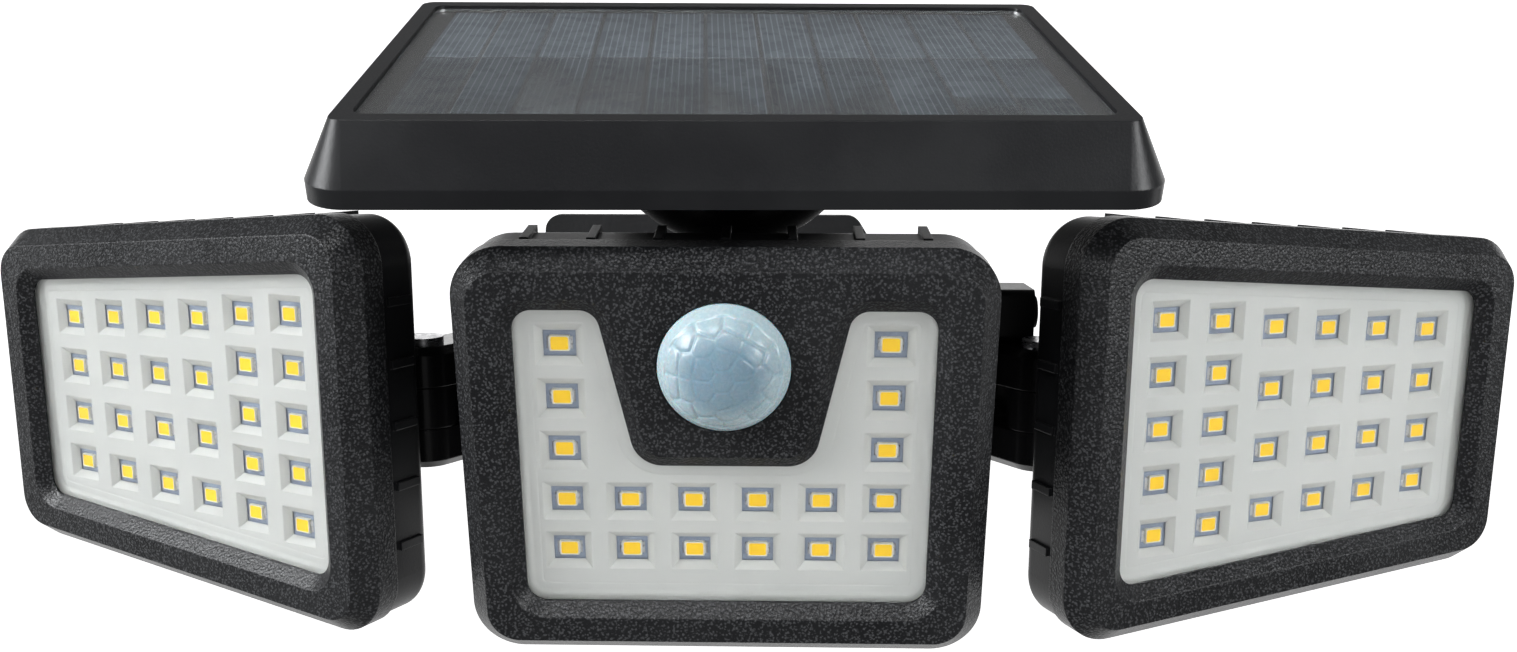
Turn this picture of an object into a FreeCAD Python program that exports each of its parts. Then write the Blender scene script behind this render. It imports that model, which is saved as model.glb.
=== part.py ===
import FreeCAD, Part
import math
import os
import re
import Sketcher

# A wall light with three lamp heads, a motion sensor and a solar panel. Lengths are millimetres,
# angles degrees. The wall is the plane y = 0 and the light faces -Y, with +Z up. The origin is in
# the wall plane behind the middle of the side heads.
#
# Levels: a sketch on a head's XZ plane looks along +Y, so a "level" is how far the sketch stands
# towards the viewer (-Y) from the plane that the light-emitting chips sit on. A size that starts
# with "=" follows from others.

SIZES = {
    # outlines of the lamp heads
    "centre_wide": 92, "centre_tall": 75.3, "centre_corner": 9,
    "side_wide": 101, "side_tall_inner": 79.2, "side_tall_outer": 64.8, "side_corner": 9.5,
    # section through a head's front frame
    "face_level": 6, "shoulder_level": 2, "bevel": 3.3, "rim_margin": 10.4, "slope_depth": 2,
    "slope_run": 2.5, "window_lip": 0.5, "frame_wall": 3.4, "split_level": 2.8,
    "window_corner": 3.5,
    # lens, reflector, board and chips
    "lens_lap": 2.2, "lens_thick": 1.5, "lens_corner": 4, "board_thick": 1.6,
    "chip_wide": 3.5, "chip_tall": 2.8, "chip_thick": 0.7,
    "pocket_wide": 7.6, "pocket_tall": 6.8, "pocket_slope": 1.1,
    "centre_pitch_across": 11.25, "centre_pitch_up": 9.66, "centre_row_top": 20.53,
    "side_pitch_across": 12.4, "side_column_start": 31, "side_pitch_five": 10.12,
    "side_pitch_four": 12.9, "side_shrink": 0.206,
    # rear housing of a head
    "gasket_thick": 0.4, "housing_inset": 0.6, "housing_wall": 2, "housing_level": 12.5,
    "housing_round": 2.5, "rib_thick": 1.6, "rib_deep": 1, "rib_pitch": 11.4, "rib_start": 1,
    "nub_pitch": 11.5, "nub_reach": 3, "post_radius": 2, "post_inset": 19,
    "head_screw_inset": 5.6, "head_boss_radius": 2.5, "head_screw_radius": 1,
    "screw_head_radius": 1.9, "screw_head_thick": 1.4, "head_screw_tip": 2,
    # the sensor and the frame's tongue around it
    "tongue_top": 21.5, "tongue_bottom": 15.15, "tongue_end": -0.7, "tongue_corner": 5.5,
    "dome_height": 17.9, "dome_radius": 11.2, "dome_rise": 7, "dome_wall": 1.2,
    "dome_flange": 1.8, "dome_fit": 0.2, "sensor_radius": 4.6, "sensor_tall": 4.2,
    "sensor_base": 5.6, "sensor_base_thick": 0.8, "light_hole": 10,
    # where the heads hang
    "centre_ahead": 6.5, "centre_reach": "=body_front + centre_ahead", "centre_lift": 1.14,
    "centre_hinge_back": 21, "centre_pitch": 8.6, "side_behind": 3.6,
    "side_reach": "=body_front - side_behind", "side_apart": 60.9, "side_hinge_back": 23,
    "side_hinge_in": 10,
    "left_yaw": -26.97, "right_yaw": 21.39,
    # centre hinge
    "centre_knuckle_half": 8, "hinge_gap": 0.3, "centre_lug_thick": 5, "centre_lug_radius": 5.5,
    "centre_bolt_radius": 2.5, "bolt_head_radius": 4.4, "bolt_head_thick": 2.2, "pin_fit": 0.05,
    # side hinges
    "knuckle_radius": 6.5, "knuckle_half": 12, "knuckle_slot_half": 4.2, "knuckle_slot_radius": 12,
    "knuckle_play": 0.2, "swivel_pin_radius": 2.5, "pin_head_radius": 4, "pin_head_thick": 1.5,
    "shaft_radius": 3.8, "shaft_length": 42.3, "side_lug_radius": 6.5, "side_lug_thick": 6,
    "side_lug_near": 13, "side_lug_far": 36, "tilt_screw_radius": 1.2, "tilt_screw_deep": 8,
    "tilt_head_radius": 5.5, "tilt_head_thick": 2,
    # rear body, its cover and seal: as deep as the battery cells need
    "body_half": 36, "body_bottom": -24, "body_top": 26, "body_back": 14.4,
    "body_front": "=body_back + cell_back_gap + cell_long + cell_front_gap + body_wall",
    "body_wall": 2.5, "body_corner": 3, "seal_thick": 0.4, "cover_thick": 2,
    "cover_boss_radius": 3, "cover_boss_long": 20, "cover_screw_radius": 1.4,
    "cover_screw_long": 12, "cover_screw_inset": 5, "cover_head_radius": 2.8,
    "cover_head_thick": 1.5,
    # arms
    "arm_behind": 18, "arm_root_deep": 18, "arm_root_front": "=body_front - arm_behind",
    "arm_root_back": "=arm_root_front - arm_root_deep", "arm_elbow": 47.6, "arm_inner_elbow": 43.8,
    "arm_lean": 33, "arm_chamfer": 1.5, "arm_screw_rise": 6.5, "arm_screw_radius": 1.5,
    "arm_screw_long": 8, "arm_head_radius": 3, "arm_head_thick": 2,
    # battery and control board
    "cell_radius": 9.2, "cell_long": 65, "cell_apart": 9.6, "cell_back_gap": 1.1,
    "cell_front_gap": 1, "cell_front": "=body_front - body_wall - cell_front_gap",
    "holder_half": 20, "holder_short": 5.5, "holder_front": "=cell_front - holder_short",
    "holder_back": "=cell_front - cell_long + holder_short", "holder_rise": 8,
    "holder_floor": 1, "cell_play": 0.05,
    "control_half": 28, "control_front": 60, "control_back": 26, "control_level": 2,
    "control_thick": 1.6, "stand_apart": 24, "stand_radius": 3, "stand_inset": 4,
    "relay_wide": 16, "relay_deep": 12, "relay_tall": 9, "plug_wide": 8, "plug_tall": 5,
    # wall bracket
    "plate_thick": 3, "plate_left": 49.5, "plate_right": 48.5, "plate_half": 32, "plate_cut": 29,
    "plate_cut_end": 0.5, "plate_round": 4, "block_inset": 8, "block_half": "=body_half - block_inset",
    "block_rise": 18,
    "wall_hole_radius": 2.25, "wall_hole_across": 40, "wall_hole_up": 50,
    "stud_apart": 18, "stud_height": 12, "stud_radius": 2.5, "stud_head_radius": 4,
    "stud_head_thick": 2.5, "stud_play": 0.2, "keyhole_drop": 8, "shelf_half": 10,
    "shelf_thick": 2.7, "shelf_gap": 0.3, "shelf_deep": 30, "lock_reach": 23, "lock_radius": 1.5,
    "lock_bite": 2.1, "lock_head_radius": 3.2, "lock_head_thick": 2.2,
    # switch box and mode button
    "box_behind": 8, "box_deep": 14, "box_front": "=body_front - box_behind",
    "box_back": "=box_front - box_deep", "box_end": 60, "box_bottom": 12, "box_top": 22.5,
    "box_wall": 1.2, "box_base": 4, "box_round": 1.5, "button_radius": 3.2, "button_proud": 1.5,
    "button_flange": 3.9, "button_flange_thick": 1.4, "button_fit": 0.1, "button_seal_thick": 0.3,
    "button_travel": 1, "button_reach": 0.1, "switch_wide": 6, "switch_tall": 3.5,
    "switch_tip_radius": 1.7, "switch_tip": 0.3, "box_screw_radius": 1.1, "box_screw_apart": 4.5,
    "box_screw_bite": 3.5, "box_head_radius": 2.2, "box_head_thick": 2,
    # turret that carries the panel
    "turret_behind": 11, "turret_reach": "=body_front - turret_behind", "turret_yaw": 2.9,
    "stem_radius": 8.75, "stem_foot": 14,
    "spigot_radius": 6, "collar_radius": 10.8, "collar_top": 30, "cup_radius": 27,
    "cup_centre": 58, "cup_rim": 46.5, "cup_wall": 1.8, "cup_floor": 38,
    "pivot_height": 51, "ear_gap": 0.4, "ear_thick": 4, "ear_radius": 5,
    "ear_sink": 2, "panel_pin_radius": 2, "panel_pin_head": 3.2, "panel_pin_head_thick": 1.5,
    "washer_radius": 8, "washer_thick": 2, "washer_gap": 0.2, "turret_screw_radius": 2,
    "turret_screw_long": 10, "turret_head_radius": 3.5, "turret_head_thick": 2,
    # solar panel
    "panel_wide": 129.6, "panel_deep": 83, "panel_tilt": 17.3, "panel_top": 19.3,
    "panel_behind": 5.9, "panel_corner": 2.5, "flare": 5, "flare_tall": 9.9, "lip_tall": 3.2,
    "panel_rim": 3.2, "recess": 2.4, "deck_thick": 2.5, "cell_thick": 0.4,
    "cell_gap": 0.8, "cell_side_margin": 4.5, "cell_end_margin": 2.5, "glass_thick": 1.3,
    "glass_fit": 0.1, "panel_cover_rise": 0.8, "panel_cover_thick": 2,
    "panel_cover_fit": 0.15, "panel_lug_half": 5.9, "panel_boss_radius": 3,
    "panel_boss_inset": 8, "panel_screw_radius": 1.2, "panel_screw_long": 6,
    "panel_head_radius": 2.6, "panel_head_thick": 0.8,
    # cuts run this far past what they cut
    "overcut": 1,
}

CELL_ROWS = 2
CELL_COLUMNS = 11
RIBS_EACH_SIDE = 3
NUBS_EACH_SIDE = 2

FRONT = "XZ_Plane"
TOP = "XY_Plane"
RIGHT = "YZ_Plane"
SAME_PLACE = 1e-4
SAME_VOLUME = 1e-6
Vector = FreeCAD.Vector

doc = FreeCAD.newDocument("SecurityLight")
sheet = doc.addObject("Spreadsheet::Sheet", "Sizes")
for row, alias in enumerate(SIZES, 1):
    sheet.set("A%d" % row, alias)
    sheet.setAlias("B%d" % row, alias)
for row, size in enumerate(SIZES.values(), 1):
    sheet.set("B%d" % row, str(size))
doc.recompute()

sub_parts = []


# ---- expressions, sketches and features ----------------------------------------------------------

def linked(text):
    """An expression with each size name pointing at its cell."""
    return re.sub(r"[a-z_]+", lambda word: "Sizes." + word[0] if word[0] in SIZES else word[0], text)


def value(text):
    """What an expression is worth now."""
    return float(sheet.evalExpression(linked(text)))


def bind(thing, name, text):
    thing.setExpression(name, linked(text))


def new_body(label, kept=True):
    """A body, which is a sub-part of the light unless it is only the base of one."""
    body = doc.addObject("PartDesign::Body", label)
    body.Label = label
    body.AllowCompound = True
    if kept:
        sub_parts.append(body)
    return body


class Drawing:
    """A sketch on one of its body's own planes. Its dimensions are given as expressions."""

    def __init__(self, body, plane, level):
        self.sketch = body.newObject("Sketcher::SketchObject", body.Label + "_sketch")
        origin_plane = next(one for one in body.Origin.OriginFeatures if one.Role == plane)
        self.sketch.AttachmentSupport = [(origin_plane, "")]
        self.sketch.MapMode = "FlatFace"
        bind(self.sketch, "AttachmentOffset.Base.z", level)
        self.rules = []
        self.bound = []

    def draw(self, shape, helper=False):
        return self.sketch.addGeometry(shape, helper)

    def rule(self, kind, *arguments):
        self.rules.append(Sketcher.Constraint(kind, *arguments))

    def hold(self, kind, *arguments):
        """Adds a dimension whose last argument is an expression."""
        *where, text = arguments
        self.bound.append((len(self.rules), text))
        self.rule(kind, *where, value(text))

    def hold_point(self, geometry, end, across, up):
        self.hold("DistanceX", -1, 1, geometry, end, across)
        self.hold("DistanceY", -1, 1, geometry, end, up)

    def close(self):
        """Sets every rule at once, and ties each dimension to its expression."""
        self.sketch.addConstraint(self.rules)
        for index, text in self.bound:
            bind(self.sketch, "Constraints[%d]" % index, text)
        return self.sketch

    def circle(self, across, up, radius):
        middle = Vector(value(across), value(up), 0)
        circle = self.draw(Part.Circle(middle, Vector(0, 0, 1), value(radius)))
        self.hold_point(circle, 3, across, up)
        self.hold("Radius", circle, radius)

    def rectangle(self, left, low, wide, tall):
        """A rectangle from its lower left corner, its width and its height."""
        near = Vector(value(left), value(low), 0)
        far = near + Vector(value(wide), value(tall), 0)
        corners = [near, Vector(far.x, near.y, 0), far, Vector(near.x, far.y, 0)]
        lines = self.draw([Part.LineSegment(corners[i], corners[(i + 1) % 4]) for i in range(4)])
        for i in range(4):
            self.rule("Coincident", lines[i], 2, lines[(i + 1) % 4], 1)
            self.rule(("Horizontal", "Vertical")[i % 2], lines[i])
        self.hold_point(lines[0], 1, left, low)
        self.hold("DistanceX", lines[0], 1, lines[0], 2, wide)
        self.hold("DistanceY", lines[1], 1, lines[1], 2, tall)

    def loop(self, corners):
        """A closed outline of straight sides. A corner is (across, up) or (across, up, radius)."""
        places = [Vector(value(corner[0]), value(corner[1]), 0) for corner in corners]
        count = len(corners)
        bends = []
        for i, corner in enumerate(corners):
            if len(corner) == 2:
                bends.append((places[i], None, places[i]))
            else:
                around = (places[i - 1], places[i], places[(i + 1) % count])
                bends.append(rounding(*around, value(corner[2])))
        sides = [Part.LineSegment(bends[i][2], bends[(i + 1) % count][0]) for i in range(count)]
        lines = self.draw(sides)
        for i, corner in enumerate(corners):
            arriving, leaving = lines[i - 1], lines[i]
            if len(corner) == 2:
                self.rule("Coincident", arriving, 2, leaving, 1)
                self.hold_point(leaving, 1, corner[0], corner[1])
                continue
            arc = self.draw(anticlockwise(*bends[i]))
            point = self.draw(Part.Point(places[i]), True)
            self.hold_point(point, 1, corner[0], corner[1])
            self.rule("PointOnObject", point, 1, arriving)
            self.rule("PointOnObject", point, 1, leaving)
            first = self.end_at(arc, bends[i][0])
            self.rule("Tangent", arriving, 2, arc, first)
            self.rule("Tangent", leaving, 1, arc, 3 - first)
            self.hold("Radius", arc, corner[2])

    def end_at(self, geometry, point):
        """Which end of a line or an arc is at a point: 1 its start, 2 its end."""
        return 1 if self.sketch.Geometry[geometry].StartPoint.isEqual(point, SAME_PLACE) else 2


def anticlockwise(start, middle, end):
    """The arc through three points, from whichever end makes it turn left."""
    turns_left = (middle - start).cross(end - middle).z > 0
    return Part.Arc(start, middle, end) if turns_left else Part.Arc(end, middle, start)


def rounding(before, corner, after, radius):
    """Where a corner's arc starts, its middle point and where it ends."""
    arriving = (before - corner).normalize()
    leaving = (after - corner).normalize()
    half = arriving.getAngle(leaving) / 2
    along = radius / math.tan(half)
    toward = (arriving + leaving).normalize()
    centre = corner + toward * (radius / math.sin(half))
    return corner + arriving * along, centre - toward * radius, corner + leaving * along


def finish_feature(body, kind, drawing, length, taper):
    feature = body.newObject("PartDesign::" + kind, body.Label + "_" + kind.lower())
    feature.Profile = drawing.close()
    bind(feature, "Length", length)
    if taper != "0":
        bind(feature, "TaperAngle", taper)
    return feature


def pad(body, drawing, length, taper="0"):
    """Adds the drawing's shape along its normal; a negative taper narrows it."""
    return finish_feature(body, "Pad", drawing, length, taper)


def pocket(body, drawing, length, taper="0"):
    """Cuts the drawing's shape against its normal; a negative taper narrows it."""
    return finish_feature(body, "Pocket", drawing, length, taper)


def pad_loop(body, plane, level, corners, length, taper="0"):
    drawing = Drawing(body, plane, level)
    drawing.loop(corners)
    return pad(body, drawing, length, taper)


def cut_loop(body, plane, level, corners, length, taper="0"):
    drawing = Drawing(body, plane, level)
    drawing.loop(corners)
    return pocket(body, drawing, length, taper)


def pad_rectangle(body, plane, level, left, low, wide, tall, length):
    drawing = Drawing(body, plane, level)
    drawing.rectangle(left, low, wide, tall)
    return pad(body, drawing, length)


def circles(body, plane, level, middles, radius):
    drawing = Drawing(body, plane, level)
    for across, up in middles:
        drawing.circle(across, up, radius)
    return drawing


def pad_circles(body, plane, level, middles, radius, length):
    return pad(body, circles(body, plane, level, middles, radius), length)


def cut_circles(body, plane, level, middles, radius, length):
    return pocket(body, circles(body, plane, level, middles, radius), length)


def cut_between(body, plane, level, corners, end_level, end_corners):
    """Cuts the straight-sided space between two outlines at two levels."""
    sections = []
    for height, outline in ((level, corners), (end_level, end_corners)):
        drawing = Drawing(body, plane, height)
        drawing.loop(outline)
        sections.append(drawing.close())
    feature = body.newObject("PartDesign::SubtractiveLoft", body.Label + "_loft")
    feature.Profile = sections[0]
    feature.Sections = [(sections[1], "")]
    feature.Ruled = True
    return feature


def sphere(body, kind, radius, low, high, across, depth, up, turn=FreeCAD.Rotation()):
    """Adds or cuts the part of a sphere between two latitudes, given as angles."""
    feature = body.newObject("PartDesign::%sSphere" % kind, body.Label + "_sphere")
    bind(feature, "Radius", radius)
    bind(feature, "Angle1", low)
    bind(feature, "Angle2", high)
    feature.Placement = at(across, depth, up, turn)
    return feature


def round_edges(body, chosen, size, kind="Fillet"):
    """Rounds or bevels the edges that the test picks."""
    doc.recompute()
    base = body.Tip
    names = ["Edge%d" % (i + 1) for i, edge in enumerate(base.Shape.Edges) if chosen(edge)]
    feature = body.newObject("PartDesign::" + kind, body.Label + "_" + kind.lower())
    feature.Base = (base, names)
    bind(feature, "Radius" if kind == "Fillet" else "Size", size)


def lies_at(edge, axis, text):
    """Whether an edge lies in the plane where the axis has the expression's value."""
    box = edge.BoundBox
    low, high = getattr(box, axis + "Min"), getattr(box, axis + "Max")
    place = value(text)
    return abs(low - place) < SAME_PLACE and abs(high - place) < SAME_PLACE


def negative(text):
    return "-(%s)" % text


def turned(axis, text):
    return FreeCAD.Rotation(axis, value(text))


def at(across, depth, up, rotation=FreeCAD.Rotation()):
    return FreeCAD.Placement(Vector(value(across), value(depth), value(up)), rotation)


# ---- lamp heads ----------------------------------------------------------------------------------
# A head is built about the middle of its outline. "inner" is the side towards the middle of the
# light: to the right (1) on the left head, to the left (-1) on the right head.

class Head:
    def __init__(self, name, kind, inner):
        self.name = name
        self.wide = kind + "_wide"
        self.corner = kind + "_corner"
        self.inner = str(inner)
        self.tall_inner = "centre_tall" if kind == "centre" else "side_tall_inner"
        self.tall_outer = "centre_tall" if kind == "centre" else "side_tall_outer"
        self.narrowing = "((%s - %s) / 2 / %s)" % (self.tall_inner, self.tall_outer, self.wide)

    def half_height(self, across):
        """Half the outline's height at a place across the head."""
        from_inner = "(%s / 2 - %s * (%s))" % (self.wide, self.inner, across)
        return "(%s / 2 - %s * %s)" % (self.tall_inner, self.narrowing, from_inner)

    def corner_at(self, right, upper, inset):
        """An outline corner moved in from both of its sides. right and upper are 1 or -1."""
        across = "%d * (%s / 2 - (%s))" % (right, self.wide, inset)
        lean = "sqrt(1 + %s ^ 2)" % self.narrowing
        return across, "%d * (%s - (%s) * %s)" % (upper, self.half_height(across), inset, lean)

    def outline(self, inset, radius):
        turns = ((-1, -1), (1, -1), (1, 1), (-1, 1))
        return [self.corner_at(right, upper, inset) + (radius,) for right, upper in turns]

    def corners(self, inset):
        return [self.corner_at(right, upper, inset) for right in (-1, 1) for upper in (-1, 1)]

    def window(self, grow):
        """The opening in the frame, larger by grow all round."""
        convex = "window_corner + " + grow
        around = self.outline("rim_margin - " + grow, convex)
        if self.name != "centre":
            return around
        low_left, low_right, top_right, top_left = around
        top = top_right[1]
        slant = "((tongue_top - tongue_bottom) / (centre_tall / 2 - rim_margin - tongue_end))"
        shift = "%s * (%s - sqrt(1 + %s ^ 2))" % (grow, slant, slant)
        tongue = [
            ("tongue_top + " + shift, top, convex),
            ("tongue_bottom + " + shift, "tongue_end + " + grow, "tongue_corner - " + grow),
            ("-tongue_bottom - " + shift, "tongue_end + " + grow, "tongue_corner - " + grow),
            ("-tongue_top - " + shift, top, convex),
        ]
        return [low_left, low_right, top_right, *tongue, top_left]

    def chips(self):
        """Where the middle of each light-emitting chip is."""
        if self.name == "centre":
            rows = [[0, 5], [0, 5], [0, 5], range(6), range(6)]
            return [
                ("%g * centre_pitch_across" % (column - 2.5),
                 "centre_row_top - %d * centre_pitch_up" % row)
                for row, columns in enumerate(rows) for column in columns
            ]
        places = []
        for column in range(6):
            across = "%s * (side_column_start - %d * side_pitch_across)" % (self.inner, column)
            size = "(1 - side_shrink * %g)" % (column / 5)
            pitch, count = ("side_pitch_five", 5) if column < 2 else ("side_pitch_four", 4)
            for step in range(count):
                places.append((across, "%g * %s * %s" % (step - (count - 1) / 2, pitch, size)))
        return places

    def placement(self):
        if self.name == "centre":
            turn = turned(Vector(1, 0, 0), "centre_pitch")
            hinge = at("0", "-centre_reach", "centre_lift")
            return hinge * FreeCAD.Placement(Vector(), turn) * at("0", "-centre_hinge_back", "0")
        return self.hinge() * at(self.hinge_back_across(), "-side_hinge_back", "0")

    def hinge(self):
        """The frame of a side head's swivel axis, turned with the head."""
        turn = turned(Vector(0, 0, 1), self.name + "_yaw")
        return at("-(%s) * side_apart" % self.inner, "-side_reach", "0", turn)

    def hinge_back_across(self):
        return "-(%s) * (side_column_start + side_hinge_in)" % self.inner

    def hinge_across(self):
        return "%s * (side_column_start + side_hinge_in)" % self.inner


LENS_INSET = "(rim_margin - lens_lap)"
PLATE_BACK = "(face_level - slope_depth - window_lip)"
LENS_BACK = "(%s - lens_thick)" % PLATE_BACK
HOUSING_FRONT = "(split_level + gasket_thick)"
HOUSING_FLOOR = "(housing_level - housing_wall)"
DOME_MIDDLE = [("0", "dome_height")]


def make_frame(head):
    body = new_body(head.name + "_frame")
    pad_loop(body, FRONT, "-split_level", head.outline("0", head.corner),
             "split_level + shoulder_level")
    pad_loop(body, FRONT, "shoulder_level", head.outline("0", head.corner),
             "face_level - shoulder_level", "-atan(bevel / (face_level - shoulder_level))")
    cavity = head.outline("frame_wall", head.corner + " - frame_wall")
    cut_loop(body, FRONT, PLATE_BACK, cavity, PLATE_BACK + " + split_level + overcut")
    cut_between(body, FRONT, "face_level", head.window("slope_run"),
                "face_level - slope_depth", head.window("0"))
    cut_loop(body, FRONT, "face_level - slope_depth", head.window("0"), "window_lip + overcut")
    bosses = head.corners("head_screw_inset")
    pad_circles(body, FRONT, "-split_level", bosses, "head_boss_radius",
                "split_level + " + PLATE_BACK)
    cut_circles(body, FRONT, "head_screw_tip + pin_fit", bosses, "head_screw_radius + pin_fit",
                "head_screw_tip + split_level + overcut")
    if head.name == "centre":
        cut_circles(body, FRONT, "face_level + overcut", DOME_MIDDLE, "dome_radius + dome_fit",
                    "2 * face_level")
    return body


def make_lens(head):
    body = new_body(head.name + "_lens")
    pad_loop(body, FRONT, LENS_BACK, head.outline(LENS_INSET, "lens_corner"), "lens_thick")
    if head.name == "centre":
        cut_circles(body, FRONT, "face_level", DOME_MIDDLE,
                    "dome_radius + dome_flange + dome_fit", "face_level")
    return body


def make_reflector(head):
    """A moulded plate with a sloping well over each chip."""
    plate = new_body(head.name + "_reflector_plate", kept=False)
    pad_loop(plate, FRONT, "0", head.outline(LENS_INSET, "lens_corner"), LENS_BACK)
    if head.name == "centre":
        cut_circles(plate, FRONT, "face_level", DOME_MIDDLE, "light_hole", "2 * face_level")
    wells = [add_well(head, across, up) for across, up in head.chips()]
    tools = doc.addObject("Part::Compound", head.name + "_wells")
    tools.Links = wells
    reflector = doc.addObject("Part::Cut", head.name + "_reflector")
    reflector.Label = head.name + "_reflector"
    reflector.Base = plate
    reflector.Tool = tools
    sub_parts.append(reflector)
    return reflector


def add_well(head, across, up):
    """A wedge about one chip, wide at the plate's front and narrower at its back."""
    well = doc.addObject("Part::Wedge", head.name + "_well")
    slope = "(pocket_slope / %s)" % LENS_BACK
    for axis, size in (("X", "pocket_wide"), ("Z", "pocket_tall")):
        bind(well, axis + "min", "-%s / 2 - overcut * %s" % (size, slope))
        bind(well, axis + "max", "%s / 2 + overcut * %s" % (size, slope))
        bind(well, axis + "2min", "-%s / 2 + pocket_slope" % size)
        bind(well, axis + "2max", "%s / 2 - pocket_slope" % size)
    bind(well, "Ymin", "-%s - overcut" % LENS_BACK)
    well.Ymax = 0
    bind(well, "Placement.Base.x", across)
    bind(well, "Placement.Base.z", up)
    return well


def make_led_board(head):
    body = new_body(head.name + "_led_board")
    pad_loop(body, FRONT, "-board_thick", head.outline(LENS_INSET, "lens_corner"), "board_thick")
    return body


def make_leds(head):
    chips = []
    for across, up in head.chips():
        chip = doc.addObject("Part::Box", head.name + "_chip")
        bind(chip, "Length", "chip_wide")
        bind(chip, "Width", "chip_thick")
        bind(chip, "Height", "chip_tall")
        bind(chip, "Placement.Base.x", across + " - chip_wide / 2")
        bind(chip, "Placement.Base.y", "-chip_thick")
        bind(chip, "Placement.Base.z", up + " - chip_tall / 2")
        chips.append(chip)
    leds = doc.addObject("Part::Compound", head.name + "_leds")
    leds.Label = head.name + "_leds"
    leds.Links = chips
    sub_parts.append(leds)
    return leds


def make_gasket(head):
    body = new_body(head.name + "_gasket")
    pad_loop(body, FRONT, negative(HOUSING_FRONT),
             head.outline("housing_inset", head.corner + " - housing_inset"), "gasket_thick")
    cut_loop(body, FRONT, "0", head.outline("frame_wall", head.corner + " - frame_wall"),
             HOUSING_FRONT + " + overcut")
    cut_circles(body, FRONT, "0", head.corners("head_screw_inset"),
                "head_screw_radius + pin_fit", HOUSING_FRONT + " + overcut")
    return body


def make_housing(head):
    body = new_body(head.name + "_housing")
    shell = head.outline("housing_inset", head.corner + " - housing_inset")
    pad_loop(body, FRONT, "-housing_level", shell, "housing_level - " + HOUSING_FRONT)
    round_edges(body, lambda edge: lies_at(edge, "Y", "housing_level"), "housing_round")
    add_ribs(body, head)
    wall = "(housing_inset + housing_wall)"
    cavity = head.outline(wall, "%s - %s" % (head.corner, wall))
    cut_loop(body, FRONT, "-%s + overcut" % HOUSING_FRONT, cavity,
             "%s - %s + overcut" % (HOUSING_FLOOR, HOUSING_FRONT))
    screws = head.corners("head_screw_inset")
    pad_circles(body, FRONT, "-%s - overcut" % HOUSING_FLOOR, screws, "head_boss_radius",
                "%s - %s + overcut" % (HOUSING_FLOOR, HOUSING_FRONT))
    pad_circles(body, FRONT, "-%s - overcut" % HOUSING_FLOOR, head.corners("post_inset"),
                "post_radius", HOUSING_FLOOR + " + overcut - board_thick")
    cut_circles(body, FRONT, "0", screws, "head_screw_radius + pin_fit",
                "housing_level + 2 * overcut")
    cut_circles(body, FRONT, "screw_head_thick + pin_fit - housing_level", screws,
                "screw_head_radius + pin_fit", "screw_head_thick + rib_deep + 2 * overcut")
    add_lugs(body, head)
    return body


def add_ribs(body, head):
    """Cooling ribs up the back whose ends show above and below, and nubs on the two sides."""
    drawing = Drawing(body, FRONT, "-housing_level - rib_deep")
    for step in range(-RIBS_EACH_SIDE, RIBS_EACH_SIDE + 1):
        left = "%d * rib_pitch - rib_thick / 2" % step
        right = "%d * rib_pitch + rib_thick / 2" % step
        drawing.loop([(left, negative(head.half_height(left))),
                      (right, negative(head.half_height(right))),
                      (right, head.half_height(right)), (left, head.half_height(left))])
    pad(body, drawing, "housing_level + rib_deep - %s - rib_start" % HOUSING_FRONT)
    drawing = Drawing(body, FRONT, "-housing_level + housing_round")
    for step in range(-NUBS_EACH_SIDE, NUBS_EACH_SIDE + 1):
        low = "%d * nub_pitch - rib_thick / 2" % step
        for left in ("-%s / 2" % head.wide, "%s / 2 - nub_reach" % head.wide):
            drawing.rectangle(left, low, "nub_reach", "rib_thick")
    pad(body, drawing, "housing_level - housing_round - %s - rib_start" % HOUSING_FRONT)


def add_lugs(body, head):
    """The hinge lugs behind a head, bored for their bolt or shaft."""
    if head.name == "centre":
        back, radius, bore, thick = ("centre_hinge_back", "centre_lug_radius",
                                     "centre_bolt_radius", "centre_lug_thick")
        near = "centre_knuckle_half + hinge_gap"
        starts = [near, "-(%s) - centre_lug_thick" % near]
    else:
        back, radius, bore, thick = ("side_hinge_back", "side_lug_radius",
                                     "shaft_radius", "side_lug_thick")
        hinge = head.hinge_across()
        starts = []
        for reach in ("side_lug_near", "side_lug_far"):
            if head.inner == "1":
                starts.append("%s - %s - side_lug_thick" % (hinge, reach))
            else:
                starts.append("%s + %s" % (hinge, reach))
    for start in starts:
        pad_rectangle(body, RIGHT, start, HOUSING_FLOOR + " + overcut", "-" + radius,
                      "%s - %s - overcut" % (back, HOUSING_FLOOR), "2 * " + radius, thick)
        pad_circles(body, RIGHT, start, [(back, "0")], radius, thick)
        cut_circles(body, RIGHT, "%s + %s + overcut" % (start, thick), [(back, "0")],
                    bore + " + pin_fit", thick + " + 2 * overcut")


def make_head_screws(head):
    body = new_body(head.name + "_screws")
    screws = head.corners("head_screw_inset")
    pad_circles(body, FRONT, "-housing_level", screws, "screw_head_radius", "screw_head_thick")
    pad_circles(body, FRONT, "-housing_level", screws, "head_screw_radius",
                "housing_level + head_screw_tip")
    return body


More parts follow.
